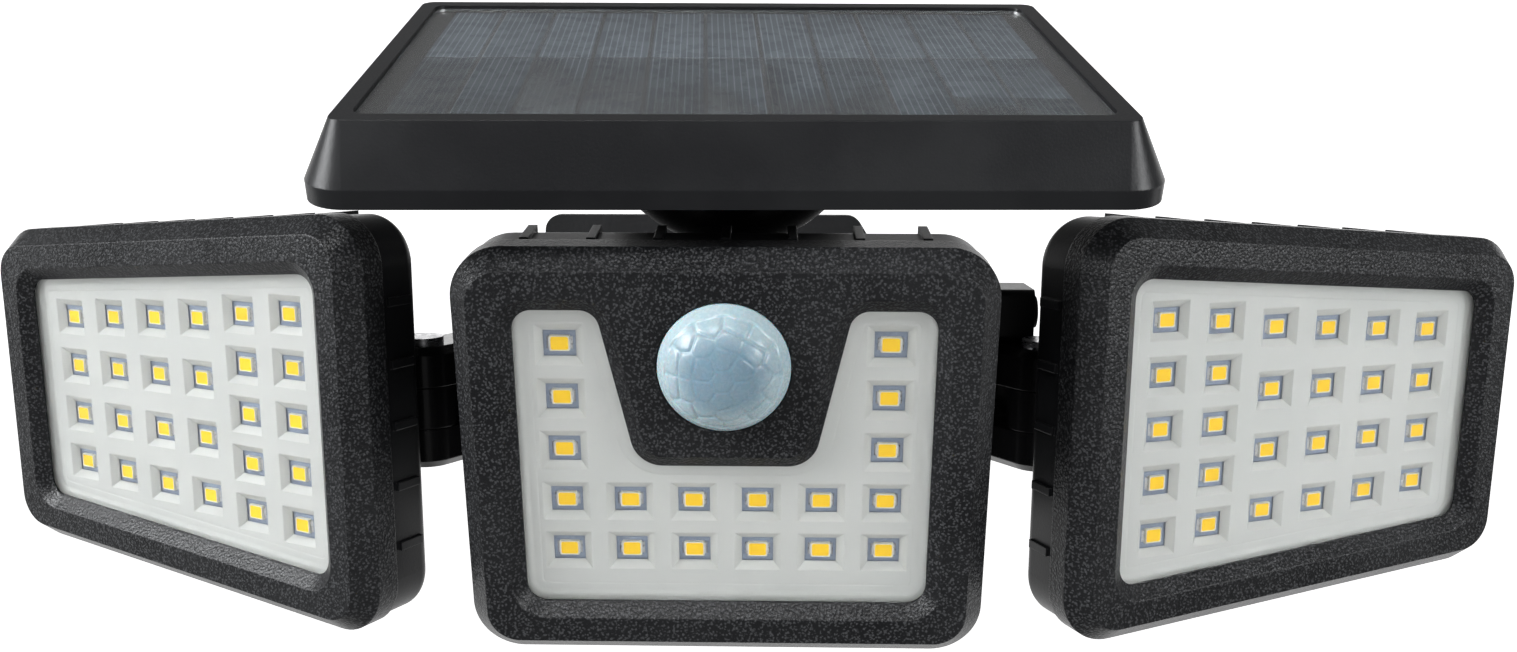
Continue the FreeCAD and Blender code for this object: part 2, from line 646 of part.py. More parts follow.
def make_dome():
    """The sensor's milky lens: a shallow dome on a short neck with a flange."""
    body = new_body("pir_dome")
    pad_circles(body, FRONT, LENS_BACK, [("0", "0")], "dome_radius + dome_flange", "lens_thick")
    pad_circles(body, FRONT, LENS_BACK, [("0", "0")], "dome_radius", "face_level - " + LENS_BACK)
    cap_radius = "((dome_radius ^ 2 + dome_rise ^ 2) / 2 / dome_rise)"
    below = "(%s - dome_rise)" % cap_radius
    centre = ("0", below + " - face_level", "0")
    toward_viewer = FreeCAD.Rotation(Vector(1, 0, 0), 90)
    sphere(body, "Additive", cap_radius, "asin(%s / %s)" % (below, cap_radius), "90", *centre,
           toward_viewer)
    inner = "(%s - dome_wall)" % cap_radius
    cut_circles(body, FRONT, "face_level", [("0", "0")], "dome_radius - dome_wall", "face_level")
    sphere(body, "Subtractive", inner, "asin(%s / %s)" % (below, inner), "90", *centre,
           toward_viewer)
    return body


def make_sensor():
    body = new_body("pir_sensor")
    pad_circles(body, FRONT, "0", [("0", "0")], "sensor_base", "sensor_base_thick")
    pad_circles(body, FRONT, "0", [("0", "0")], "sensor_radius", "sensor_tall")
    return body


def make_head(head):
    makers = (make_frame, make_lens, make_reflector, make_led_board, make_leds, make_gasket,
              make_housing, make_head_screws)
    for maker in makers:
        maker(head).Placement = head.placement()


# ---- side hinges ---------------------------------------------------------------------------------

def outward(head):
    """1 where the side head's outer end is to the right."""
    return -int(head.inner)


def make_swivel(head):
    """The knuckle on the vertical pin, with the horizontal shaft that the head tilts on."""
    body = new_body(head.name + "_swivel")
    half = "(knuckle_slot_half - knuckle_play)"
    pad_circles(body, TOP, "-" + half, [("0", "0")], "knuckle_radius", "2 * " + half)
    start = "0" if outward(head) > 0 else "-shaft_length"
    pad_circles(body, RIGHT, start, [("0", "0")], "shaft_radius", "shaft_length")
    cut_circles(body, TOP, half + " + overcut", [("0", "0")], "swivel_pin_radius + pin_fit",
                "2 * %s + 2 * overcut" % half)
    if outward(head) > 0:
        top = "shaft_length + overcut"
    else:
        top = "tilt_screw_deep + pin_fit - shaft_length"
    cut_circles(body, RIGHT, top, [("0", "0")], "tilt_screw_radius + pin_fit",
                "tilt_screw_deep + pin_fit + overcut")
    body.Placement = head.hinge()


def make_tilt_screw(head):
    body = new_body(head.name + "_tilt_screw")
    side = outward(head)
    start = "shaft_length" if side > 0 else "-shaft_length - tilt_head_thick"
    pad_circles(body, RIGHT, start, [("0", "0")], "tilt_head_radius", "tilt_head_thick")
    start = "shaft_length - tilt_screw_deep" if side > 0 else "-shaft_length - tilt_head_thick"
    pad_circles(body, RIGHT, start, [("0", "0")], "tilt_screw_radius",
                "tilt_screw_deep + tilt_head_thick")
    body.Placement = head.hinge()


def make_arm(head):
    """A solid arm from the body's side to a forked knuckle, drawn for the side it is on."""
    body = new_body("arm_" + head.name)
    side = outward(head)
    lean_across = "sin(arm_lean)"
    lean_deep = "cos(arm_lean)"
    barrel = ("%d * side_apart" % side, "-side_reach")
    outer = ("%d * (side_apart + knuckle_radius * %s)" % (side, lean_deep),
             "knuckle_radius * %s - side_reach" % lean_across)
    inner = ("%d * (side_apart - knuckle_radius * %s)" % (side, lean_deep),
             "-knuckle_radius * %s - side_reach" % lean_across)
    root = "%d * body_half" % side
    corners = [(root, "-arm_root_back"), ("%d * arm_elbow" % side, "-arm_root_back"), outer, inner,
               ("%d * arm_inner_elbow" % side, "-arm_root_front"), (root, "-arm_root_front")]
    pad_loop(body, TOP, "-knuckle_half", corners, "2 * knuckle_half")
    pad_circles(body, TOP, "-knuckle_half", [barrel], "knuckle_radius", "2 * knuckle_half")

    def outer_edge(edge):
        level = lies_at(edge, "Z", "knuckle_half") or lies_at(edge, "Z", "-knuckle_half")
        return level and not lies_at(edge, "X", root)

    round_edges(body, outer_edge, "arm_chamfer", "Chamfer")
    cut_circles(body, TOP, "knuckle_slot_half", [barrel], "knuckle_slot_radius",
                "2 * knuckle_slot_half")
    cut_circles(body, TOP, "knuckle_half + overcut", [barrel], "swivel_pin_radius + pin_fit",
                "2 * knuckle_half + 2 * overcut")
    top = "body_half + arm_screw_long + pin_fit" if side > 0 else "-body_half + overcut"
    cut_circles(body, RIGHT, top, arm_screw_places(), "arm_screw_radius + pin_fit",
                "arm_screw_long + pin_fit + overcut")


def arm_screw_places():
    middle = "-(arm_root_front + arm_root_back) / 2"
    return [(middle, "-arm_screw_rise"), (middle, "arm_screw_rise")]


def make_arm_screws():
    body = new_body("arm_screws")
    inside = "(body_half - body_wall)"
    pad_circles(body, RIGHT, inside + " - arm_head_thick", arm_screw_places(),
                "arm_head_radius", "arm_head_thick")
    pad_circles(body, RIGHT, inside + " - arm_head_thick", arm_screw_places(),
                "arm_screw_radius", "arm_head_thick + body_wall + arm_screw_long")
    pad_circles(body, RIGHT, "-" + inside, arm_screw_places(),
                "arm_head_radius", "arm_head_thick")
    pad_circles(body, RIGHT, "-body_half - arm_screw_long", arm_screw_places(),
                "arm_screw_radius", "arm_head_thick + body_wall + arm_screw_long")


def make_swivel_pins():
    body = new_body("swivel_pins")
    barrels = [("side_apart", "-side_reach"), ("-side_apart", "-side_reach")]
    pad_circles(body, TOP, "-knuckle_half", barrels, "swivel_pin_radius", "2 * knuckle_half")
    pad_circles(body, TOP, "knuckle_half", barrels, "pin_head_radius", "pin_head_thick")


# ---- rear body -----------------------------------------------------------------------------------

BODY_FRONT_INSIDE = "(body_front - body_wall)"
COVER_BACK = "(body_back - seal_thick - cover_thick)"


def box_loop(half, low, high, radius):
    return [("-" + half, low, radius), (half, low, radius), (half, high, radius),
            ("-" + half, high, radius)]


def body_loop(inset):
    return box_loop("(body_half - %s)" % inset, "body_bottom + " + inset, "body_top - " + inset,
                    "body_corner")


def cover_screw_places():
    across = "(body_half - cover_screw_inset)"
    low, high = "body_bottom + cover_screw_inset", "body_top - cover_screw_inset"
    return [(side + across, up) for side in ("-", "") for up in (low, high)]


def stand_places():
    front = "-(control_front - stand_inset)"
    back = "-(control_back + stand_inset)"
    return [(side + "stand_apart", deep) for side in ("-", "") for deep in (front, back)]


def box_screw_places():
    middle = "-(box_front + box_back) / 2"
    up = "(box_bottom + box_top) / 2"
    return [(middle + " - box_screw_apart", up), (middle + " + box_screw_apart", up)]


def make_rear_body():
    body = new_body("rear_body")
    pad_loop(body, FRONT, "body_back", body_loop("0"), "body_front - body_back")
    cut_loop(body, FRONT, BODY_FRONT_INSIDE, body_loop("body_wall"),
             BODY_FRONT_INSIDE + " - body_back + overcut")
    cover_screws = cover_screw_places()
    pad_circles(body, FRONT, "body_back", cover_screws, "cover_boss_radius", "cover_boss_long")
    cut_circles(body, FRONT, COVER_BACK + " + cover_screw_long + pin_fit", cover_screws,
                "cover_screw_radius + pin_fit", "cover_screw_long + overcut")
    pad_circles(body, TOP, "body_bottom + body_wall / 2", stand_places(), "stand_radius",
                "control_level - body_bottom - body_wall / 2")
    turret = [("0", "-turret_reach")]
    pad_circles(body, TOP, "stem_foot + washer_gap", turret, "collar_radius",
                "collar_top - stem_foot - washer_gap")
    cut_circles(body, TOP, "collar_top + overcut", turret, "spigot_radius + pin_fit",
                "collar_top - stem_foot + 2 * overcut")
    half = "centre_knuckle_half"
    pad_rectangle(body, RIGHT, "-" + half, "-centre_reach", "centre_lift - centre_lug_radius",
                  "centre_reach - body_front + body_wall / 2", "2 * centre_lug_radius", "2 * " + half)
    pad_circles(body, RIGHT, "-" + half, [("-centre_reach", "centre_lift")], "centre_lug_radius",
                "2 * " + half)
    cut_circles(body, RIGHT, half + " + overcut", [("-centre_reach", "centre_lift")],
                "centre_bolt_radius + pin_fit", "2 * %s + 2 * overcut" % half)
    for top in ("body_half + overcut", "-body_half + body_wall + overcut"):
        cut_circles(body, RIGHT, top, arm_screw_places(), "arm_screw_radius + pin_fit",
                    "body_wall + 2 * overcut")
    cut_circles(body, RIGHT, "body_half + overcut", box_screw_places(),
                "box_screw_radius + pin_fit", "body_wall + 2 * overcut")
    cut_circles(body, TOP, "body_bottom + lock_bite + pin_fit", [("0", "-lock_reach")],
                "lock_radius + pin_fit", "lock_bite + pin_fit + overcut")


def make_rear_seal():
    body = new_body("rear_body_seal")
    pad_loop(body, FRONT, "body_back - seal_thick", body_loop("0"), "seal_thick")
    cut_loop(body, FRONT, "body_back + overcut", body_loop("body_wall"), "seal_thick + 2 * overcut")


def make_rear_cover():
    body = new_body("rear_cover")
    pad_loop(body, FRONT, COVER_BACK, body_loop("0"), "cover_thick")
    cut_circles(body, FRONT, "body_back + overcut", cover_screw_places(),
                "cover_screw_radius + pin_fit", "cover_thick + seal_thick + 2 * overcut")
    for side in (-1, 1):
        across = "%d * stud_apart" % side
        slot = "(stud_radius + stud_play)"
        holes = [(across, "stud_height")]
        cut_circles(body, FRONT, "body_back", holes, slot, "cover_thick + seal_thick + overcut")
        drawing = Drawing(body, FRONT, "body_back")
        drawing.rectangle(across + " - " + slot, "stud_height - keyhole_drop", "2 * " + slot,
                          "keyhole_drop")
        pocket(body, drawing, "cover_thick + seal_thick + overcut")
        cut_circles(body, FRONT, "body_back", [(across, "stud_height - keyhole_drop")],
                    "stud_head_radius + stud_play", "cover_thick + seal_thick + overcut")


def make_cover_screws():
    body = new_body("cover_screws")
    screws = cover_screw_places()
    pad_circles(body, FRONT, COVER_BACK + " - cover_head_thick", screws, "cover_head_radius",
                "cover_head_thick")
    pad_circles(body, FRONT, COVER_BACK + " - cover_head_thick", screws, "cover_screw_radius",
                "cover_head_thick + cover_screw_long")


CELL_HEIGHT = "(body_bottom + body_wall + holder_floor + cell_radius + cell_play)"


def make_battery():
    holder = new_body("battery_holder")
    pad_rectangle(holder, FRONT, "holder_back", "-holder_half", "body_bottom + body_wall",
                  "2 * holder_half", "holder_rise", "holder_front - holder_back")
    middles = [("-cell_apart", CELL_HEIGHT), ("cell_apart", CELL_HEIGHT)]
    cut_circles(holder, FRONT, "holder_front + overcut", middles, "cell_radius + cell_play",
                "holder_front - holder_back + 2 * overcut")
    cells = new_body("battery_cells")
    pad_circles(cells, FRONT, "cell_front - cell_long", middles, "cell_radius", "cell_long")


def make_control_board():
    body = new_body("control_board")
    pad_rectangle(body, TOP, "control_level", "-control_half", "-control_front",
                  "2 * control_half", "control_front - control_back", "control_thick")
    surface = "control_level + control_thick"
    pad_rectangle(body, TOP, surface, "-relay_wide", "-control_front + stand_inset", "relay_wide",
                  "relay_deep", "relay_tall")
    pad_rectangle(body, TOP, surface, "plug_wide", "-control_back - relay_deep", "plug_wide",
                  "plug_wide", "plug_tall")


def make_bracket():
    body = new_body("wall_bracket")
    plate = [("-plate_left", "-plate_half", "plate_round"),
             ("plate_right", "-plate_half", "plate_round"),
             ("plate_right", "plate_cut_end", "plate_round"),
             ("plate_cut", "plate_half", "plate_round"),
             ("-plate_left", "plate_half", "plate_round")]
    pad_loop(body, FRONT, "0", plate, "plate_thick")
    pad_rectangle(body, FRONT, "plate_thick", "-block_half", "-block_rise", "2 * block_half",
                  "2 * block_rise", COVER_BACK + " - plate_thick")
    studs = [("-stud_apart", "stud_height"), ("stud_apart", "stud_height")]
    neck = "body_back + stud_play"
    pad_circles(body, FRONT, COVER_BACK, studs, "stud_radius", neck + " - " + COVER_BACK)
    pad_circles(body, FRONT, neck, studs, "stud_head_radius", "stud_head_thick")
    shelf_top = "body_bottom - shelf_gap"
    pad_rectangle(body, FRONT, "0", "-shelf_half", shelf_top + " - shelf_thick", "2 * shelf_half",
                  "shelf_thick", "shelf_deep")
    cut_circles(body, TOP, shelf_top + " + overcut", [("0", "-lock_reach")],
                "lock_radius + pin_fit", "shelf_thick + 2 * overcut")
    holes = [(side + "wall_hole_across / 2", up + "wall_hole_up / 2")
             for side in ("-", "") for up in ("-", "")]
    cut_circles(body, FRONT, "plate_thick + overcut", holes, "wall_hole_radius",
                "plate_thick + 2 * overcut")
    screw = new_body("bracket_lock_screw")
    head_low = shelf_top + " - shelf_thick - lock_head_thick"
    pad_circles(screw, TOP, head_low, [("0", "-lock_reach")], "lock_head_radius",
                "lock_head_thick")
    pad_circles(screw, TOP, head_low, [("0", "-lock_reach")], "lock_radius",
                "lock_head_thick + shelf_thick + shelf_gap + lock_bite")


# ---- switch box on the right of the body ---------------------------------------------------------

BOX_MIDDLE = ("-(box_front + box_back) / 2", "(box_bottom + box_top) / 2")
FLANGE_FRONT = "(box_end - box_wall - button_seal_thick)"
FLANGE_BACK = "(%s - button_flange_thick)" % FLANGE_FRONT
SWITCH_TIP = "(%s - button_travel - button_reach)" % FLANGE_BACK
SWITCH_BOARD = "(%s - switch_tip - switch_tall)" % SWITCH_TIP


def make_switch_box():
    body = new_body("switch_box")
    outside = [("-box_front", "box_bottom", "box_round"), ("-box_back", "box_bottom", "box_round"),
               ("-box_back", "box_top", "box_round"), ("-box_front", "box_top", "box_round")]
    pad_loop(body, RIGHT, "body_half", outside, "box_end - body_half")
    drawing = Drawing(body, RIGHT, "box_end - box_wall")
    drawing.rectangle("-box_front + box_wall", "box_bottom + box_wall",
                  "box_front - box_back - 2 * box_wall", "box_top - box_bottom - 2 * box_wall")
    pocket(body, drawing, "box_end - box_wall - body_half - box_base")
    cut_circles(body, RIGHT, "box_end + overcut", [BOX_MIDDLE], "button_radius + button_fit",
                "box_wall + 2 * overcut")
    cut_circles(body, RIGHT, "body_half + box_screw_bite + pin_fit", box_screw_places(),
                "box_screw_radius + pin_fit", "box_screw_bite + pin_fit + overcut")


def make_button():
    button = new_body("mode_button")
    pad_circles(button, RIGHT, FLANGE_BACK, [BOX_MIDDLE], "button_flange", "button_flange_thick")
    pad_circles(button, RIGHT, FLANGE_BACK, [BOX_MIDDLE], "button_radius",
                "box_end + button_proud - " + FLANGE_BACK)
    seal = new_body("button_seal")
    pad_circles(seal, RIGHT, FLANGE_FRONT, [BOX_MIDDLE], "button_flange", "button_seal_thick")
    cut_circles(seal, RIGHT, "box_end", [BOX_MIDDLE], "button_radius + button_fit", "box_wall * 2")
    switch = new_body("mode_switch")
    wide = "(box_front - box_back - 2 * box_wall)"
    tall = "(box_top - box_bottom - 2 * box_wall)"
    pad_rectangle(switch, RIGHT, SWITCH_BOARD + " - board_thick", "-box_front + box_wall",
                  "box_bottom + box_wall", wide, tall, "board_thick")
    pad_rectangle(switch, RIGHT, SWITCH_BOARD, BOX_MIDDLE[0] + " - switch_wide / 2",
                  BOX_MIDDLE[1] + " - switch_wide / 2", "switch_wide", "switch_wide",
                  "switch_tall")
    pad_circles(switch, RIGHT, SWITCH_BOARD, [BOX_MIDDLE], "switch_tip_radius",
                "switch_tall + switch_tip")
    screws = new_body("switch_box_screws")
    inside = "(body_half - body_wall)"
    pad_circles(screws, RIGHT, inside + " - box_head_thick", box_screw_places(),
                "box_head_radius", "box_head_thick")
    pad_circles(screws, RIGHT, inside + " - box_head_thick", box_screw_places(),
                "box_screw_radius", "box_head_thick + body_wall + box_screw_bite")


# ---- centre hinge --------------------------------------------------------------------------------

def make_centre_bolt():
    body = new_body("centre_hinge_bolt")
    half = "(centre_knuckle_half + 2 * hinge_gap + centre_lug_thick)"
    axis = [("-centre_reach", "centre_lift")]
    pad_circles(body, RIGHT, "-" + half, axis, "centre_bolt_radius", "2 * " + half)
    pad_circles(body, RIGHT, half, axis, "bolt_head_radius", "bolt_head_thick")
    pad_circles(body, RIGHT, "-%s - bolt_head_thick" % half, axis, "bolt_head_radius",
                "bolt_head_thick")


# ---- turret --------------------------------------------------------------------------------------

def turret_placement():
    return at("0", "-turret_reach", "0", turned(Vector(0, 0, 1), "turret_yaw"))


def latitude(radius, height):
    """The angle, below the cup's centre, where a sphere about it meets a height."""
    return "-asin((cup_centre - %s) / %s)" % (height, radius)


def make_cup():
    """A round stem that widens into a bowl, with two ears for the tilt pin. Its spigot turns in
    the rear body's collar."""
    body = new_body("panel_cup")
    inner = "(cup_radius - cup_wall)"
    shoulder = "(collar_top + washer_gap)"
    pad_circles(body, TOP, "stem_foot", [("0", "0")], "spigot_radius", shoulder + " - stem_foot")
    pad_circles(body, TOP, shoulder, [("0", "0")], "stem_radius", "cup_floor - " + shoulder)
    sphere(body, "Additive", "cup_radius", "-90", latitude("cup_radius", "cup_rim"),
           "0", "0", "cup_centre")
    sphere(body, "Subtractive", inner, latitude(inner, "cup_floor"), "0", "0", "0", "cup_centre")
    for start in ("panel_lug_half + ear_gap", "-panel_lug_half - ear_gap - ear_thick"):
        pad_rectangle(body, RIGHT, start, "-ear_radius", "cup_floor - ear_sink", "2 * ear_radius",
                      "pivot_height - cup_floor + ear_sink", "ear_thick")
        pad_circles(body, RIGHT, start, [("0", "pivot_height")], "ear_radius", "ear_thick")
        cut_circles(body, RIGHT, start + " + ear_thick + overcut", [("0", "pivot_height")],
                    "panel_pin_radius + pin_fit", "ear_thick + 2 * overcut")
    cut_circles(body, TOP, "stem_foot + turret_screw_long + pin_fit", [("0", "0")],
                "turret_screw_radius + pin_fit", "turret_screw_long + pin_fit + overcut")
    body.Placement = turret_placement()


def make_turret_fixings():
    washer = new_body("turret_washer")
    pad_circles(washer, TOP, "stem_foot - washer_thick", [("0", "0")], "washer_radius",
                "washer_thick")
    cut_circles(washer, TOP, "stem_foot + overcut", [("0", "0")], "turret_screw_radius + pin_fit",
                "washer_thick + 2 * overcut")
    washer.Placement = turret_placement()
    screw = new_body("turret_screw")
    low = "stem_foot - washer_thick - turret_head_thick"
    pad_circles(screw, TOP, low, [("0", "0")], "turret_head_radius", "turret_head_thick")
    pad_circles(screw, TOP, low, [("0", "0")], "turret_screw_radius",
                "turret_head_thick + washer_thick + turret_screw_long")
    screw.Placement = turret_placement()
    pin = new_body("panel_tilt_pin")
    half = "(panel_lug_half + ear_gap + ear_thick)"
    axis = [("0", "pivot_height")]
    pad_circles(pin, RIGHT, "-%s - panel_pin_head_thick" % half, axis, "panel_pin_radius",
                "2 * %s + 2 * panel_pin_head_thick" % half)
    pad_circles(pin, RIGHT, half, axis, "panel_pin_head", "panel_pin_head_thick")
    pad_circles(pin, RIGHT, "-%s - panel_pin_head_thick" % half, axis, "panel_pin_head",
                "panel_pin_head_thick")
    pin.Placement = turret_placement()


# ---- solar panel, built about its tilt pin -------------------------------------------------------

PANEL_LOW = "(panel_top - flare_tall - lip_tall)"
RECESS_FLOOR = "(panel_top - recess)"
DECK_BACK = "(%s - deck_thick)" % RECESS_FLOOR


def panel_placement():
    tilt = FreeCAD.Placement(Vector(), turned(Vector(1, 0, 0), "panel_tilt"))
    return turret_placement() * at("0", "0", "pivot_height") * tilt


def panel_loop(grow, radius="panel_corner"):
    """The top face's rectangle, larger by grow on each side."""
    across = "(panel_wide / 2 + (%s))" % grow
    front = "-panel_behind - panel_deep / 2 - (%s)" % grow
    back = "-panel_behind + panel_deep / 2 + (%s)" % grow
    return [("-" + across, front, radius), (across, front, radius), (across, back, radius),
            ("-" + across, back, radius)]


def panel_screw_places():
    across = "(panel_wide / 2 - panel_boss_inset)"
    deep = "(panel_deep / 2 - panel_boss_inset)"
    return [(side + across, "-panel_behind %s %s" % (way, deep))
            for side in ("-", "") for way in ("-", "+")]


def make_panel_housing():
    body = new_body("panel_housing")
    flared = panel_loop("flare", "panel_corner + flare")
    pad_loop(body, TOP, PANEL_LOW, flared, "lip_tall")
    pad_loop(body, TOP, PANEL_LOW + " + lip_tall", flared, "flare_tall", "-atan(flare / flare_tall)")
    cut_loop(body, TOP, "panel_top + overcut", panel_loop("-panel_rim"), "recess + overcut")
    cut_loop(body, TOP, DECK_BACK, panel_loop("0"), DECK_BACK + " - " + PANEL_LOW + " + overcut")
    cover_top = PANEL_LOW + " + panel_cover_rise + panel_cover_thick"
    screws = panel_screw_places()
    pad_circles(body, TOP, cover_top, screws, "panel_boss_radius",
                "%s - (%s) + deck_thick / 2" % (DECK_BACK, cover_top))
    cut_circles(body, TOP, cover_top + " + panel_screw_long - panel_cover_thick + pin_fit", screws,
                "panel_screw_radius + pin_fit", "panel_screw_long + pin_fit")
    body.Placement = panel_placement()


def make_panel_cover():
    body = new_body("panel_cover")
    low = PANEL_LOW + " + panel_cover_rise"
    pad_loop(body, TOP, low, panel_loop("-panel_cover_fit"), "panel_cover_thick")
    cut_circles(body, TOP, low + " + panel_cover_thick + overcut", panel_screw_places(),
                "panel_screw_radius + pin_fit", "panel_cover_thick + 2 * overcut")
    pad_rectangle(body, RIGHT, "-panel_lug_half", "-ear_radius", "0", "2 * ear_radius",
                  low + " + panel_cover_thick / 2", "2 * panel_lug_half")
    pad_circles(body, RIGHT, "-panel_lug_half", [("0", "0")], "ear_radius", "2 * panel_lug_half")
    cut_circles(body, RIGHT, "panel_lug_half + overcut", [("0", "0")],
                "panel_pin_radius + pin_fit", "2 * panel_lug_half + 2 * overcut")
    body.Placement = panel_placement()


def make_solar_cells():
    body = new_body("solar_cells")
    drawing = Drawing(body, TOP, RECESS_FLOOR)
    wide = "((panel_wide - 2 * (panel_rim + cell_side_margin) + cell_gap) / %d)" % CELL_COLUMNS
    deep = "((panel_deep - 2 * (panel_rim + cell_end_margin) + cell_gap) / %d)" % CELL_ROWS
    near = "-panel_behind - panel_deep / 2 + panel_rim + cell_end_margin"
    for column in range(CELL_COLUMNS):
        for line in range(CELL_ROWS):
            left = "-panel_wide / 2 + panel_rim + cell_side_margin + %d * %s" % (column, wide)
            low = "%s + %d * %s" % (near, line, deep)
            drawing.rectangle(left, low, wide + " - cell_gap", deep + " - cell_gap")
    pad(body, drawing, "cell_thick")
    body.Placement = panel_placement()


def make_panel_glass():
    body = new_body("panel_glass")
    pad_loop(body, TOP, RECESS_FLOOR + " + cell_thick", panel_loop("-panel_rim - glass_fit"),
             "glass_thick")
    body.Placement = panel_placement()


def make_panel_screws():
    body = new_body("panel_screws")
    low = PANEL_LOW + " + panel_cover_rise - panel_head_thick"
    pad_circles(body, TOP, low, panel_screw_places(), "panel_head_radius", "panel_head_thick")
    pad_circles(body, TOP, low, panel_screw_places(), "panel_screw_radius",
                "panel_head_thick + panel_screw_long")
    body.Placement = panel_placement()


# ---- the light -----------------------------------------------------------------------------------

CENTRE = Head("centre", "centre", -1)
LEFT = Head("left", "side", 1)
RIGHT_HEAD = Head("right", "side", -1)

for lamp in (CENTRE, LEFT, RIGHT_HEAD):
    make_head(lamp)
for maker in (make_dome, make_sensor):
    maker().Placement = CENTRE.placement() * at("0", "0", "dome_height")
for lamp in (LEFT, RIGHT_HEAD):
    make_swivel(lamp)
    make_tilt_screw(lamp)
    make_arm(lamp)
make_swivel_pins()
make_arm_screws()
make_rear_body()
make_rear_seal()
make_rear_cover()
make_cover_screws()
make_battery()
make_control_board()
make_bracket()
make_switch_box()
make_button()
make_centre_bolt()
make_cup()
make_turret_fixings()
make_panel_housing()
make_panel_cover()
make_solar_cells()
make_panel_glass()
make_panel_screws()


# ---- checks and files ----------------------------------------------------------------------------

doc.recompute()
for thing in doc.Objects:
    if "Invalid" in thing.State or "Error" in thing.State:
        raise RuntimeError("%s failed: %s" % (thing.Label, thing.State))
for body in sub_parts:
    before = None
    for feature in getattr(body, "Group", []):
        if not hasattr(feature, "BaseFeature"):
            continue
        volume = feature.Shape.Volume
        if before is not None and abs(volume - before) < SAME_VOLUME:
            raise RuntimeError("%s of %s changes nothing" % (feature.Label, body.Label))
        before = volume
    if body.Shape.isNull() or not body.Shape.isValid():
        raise RuntimeError("%s has no valid shape" % body.Label)

os.makedirs("parts", exist_ok=True)
for body in sub_parts:
    body.Shape.exportStep("parts/%s.step" % body.Label)
print("%d sub-parts" % len(sub_parts))
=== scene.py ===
import bpy
import bmesh
import math
from mathutils import Matrix, Vector


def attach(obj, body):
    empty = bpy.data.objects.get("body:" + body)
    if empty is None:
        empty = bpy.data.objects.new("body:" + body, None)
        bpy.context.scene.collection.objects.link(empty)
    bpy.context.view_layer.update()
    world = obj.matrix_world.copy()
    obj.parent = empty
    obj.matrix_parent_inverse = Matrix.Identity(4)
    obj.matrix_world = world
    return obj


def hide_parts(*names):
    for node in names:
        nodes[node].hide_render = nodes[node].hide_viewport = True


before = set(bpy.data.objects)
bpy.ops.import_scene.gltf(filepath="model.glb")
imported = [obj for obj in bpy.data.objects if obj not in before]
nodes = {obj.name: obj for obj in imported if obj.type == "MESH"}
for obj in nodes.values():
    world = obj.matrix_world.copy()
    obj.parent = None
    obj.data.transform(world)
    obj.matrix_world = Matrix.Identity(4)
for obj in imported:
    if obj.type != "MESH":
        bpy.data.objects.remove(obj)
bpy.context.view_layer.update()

MM = 0.001
rad = math.radians
CORNERS = ((-1, -1), (1, -1), (1, 1), (-1, 1))

# Sizes of the part in millimetres, as in its solids.
CENTRE_WIDE = 92
CENTRE_TALL = 75.3
SIDE_WIDE = 101
SIDE_TALL_INNER = 79.2
SIDE_TALL_OUTER = 64.8
NARROWING = (SIDE_TALL_INNER - SIDE_TALL_OUTER) / 2 / SIDE_WIDE

WINDOW_INSET = 10.4         # from a frame's outside to its opening
WINDOW_ROUND = 3.5
TONGUE_TOP = 21.5           # half width of the centre frame's tongue where it leaves the edge
TONGUE_FOOT = 15.15         # and at its foot
TONGUE_END = -0.7           # height of the foot
TONGUE_ROUND = 5.5

CHIP_LONG = 3.5
CHIP_SHORT = 2.8
CENTRE_PITCH = 11.25
CENTRE_ROWS_PITCH = 9.66
CENTRE_ROWS_TOP = 20.53
SIDE_PITCH = 12.4
SIDE_SHRINK = 0.206         # how much shorter the outermost column of a side head is
FULL_COLUMN = (10.12, 5)    # spacing and count of the chips in the two inner columns
SHORT_COLUMN = (12.9, 4)    # and in the other four

REFLECTOR_INSET = 8.3       # from a frame's outside to the reflector's edge
FIELD = 1.5                 # level of the reflector's flat field
BEAD = 1.96                 # level of the top of its outer bead
WELL_WIDE = 8.3
WELL_TALL = 7.3
WELD = 0.002                # points closer than this are one


# ---- places of the heads and the panel -----------------------------------------------------------
# A head's own frame: x across, -y towards the viewer, z up, with the chips on the plane y = 0.

def shift(x, y, z):
    return Matrix.Translation(Vector((x, y, z)) * MM)


def spin(angle, axis):
    return Matrix.Rotation(rad(angle), 4, axis)


# Each head: its hinge's place, its turn there, and the middle of its chips seen from the hinge.
HEADS = {
    "centre": shift(0, -90.5, 1.14) @ spin(8.6, "X") @ shift(0, -21, 0),
    "left": shift(-60.9, -80.4, 0) @ spin(-26.97, "Z") @ shift(-41, -23, 0),
    "right": shift(60.9, -80.4, 0) @ spin(21.39, "Z") @ shift(41, -23, 0),
}
INNER = {"centre": -1, "left": 1, "right": -1}        # the side of a head that is nearer the middle
DOME = {"height": 17.9, "radius": 11.2, "rise": 7.0, "face": 6.0, "skirt": (5.0, 3.4)}
PANEL = shift(0, -73, 0) @ spin(2.9, "Z") @ shift(0, 0, 51) @ spin(17.3, "X")


def half_height(head, across):
    """Half of a head's height at a place across it. The side heads narrow outward."""
    if head == "centre":
        return CENTRE_TALL / 2
    return SIDE_TALL_INNER / 2 - NARROWING * (SIDE_WIDE / 2 - INNER[head] * across)


def corner_at(head, right, upper, inset):
    """A corner of a head's outline drawn inward by inset: (across, up)."""
    wide = CENTRE_WIDE if head == "centre" else SIDE_WIDE
    narrowing = 0 if head == "centre" else NARROWING
    across = right * (wide / 2 - inset)
    return across, upper * (half_height(head, across) - inset * math.sqrt(1 + narrowing ** 2))


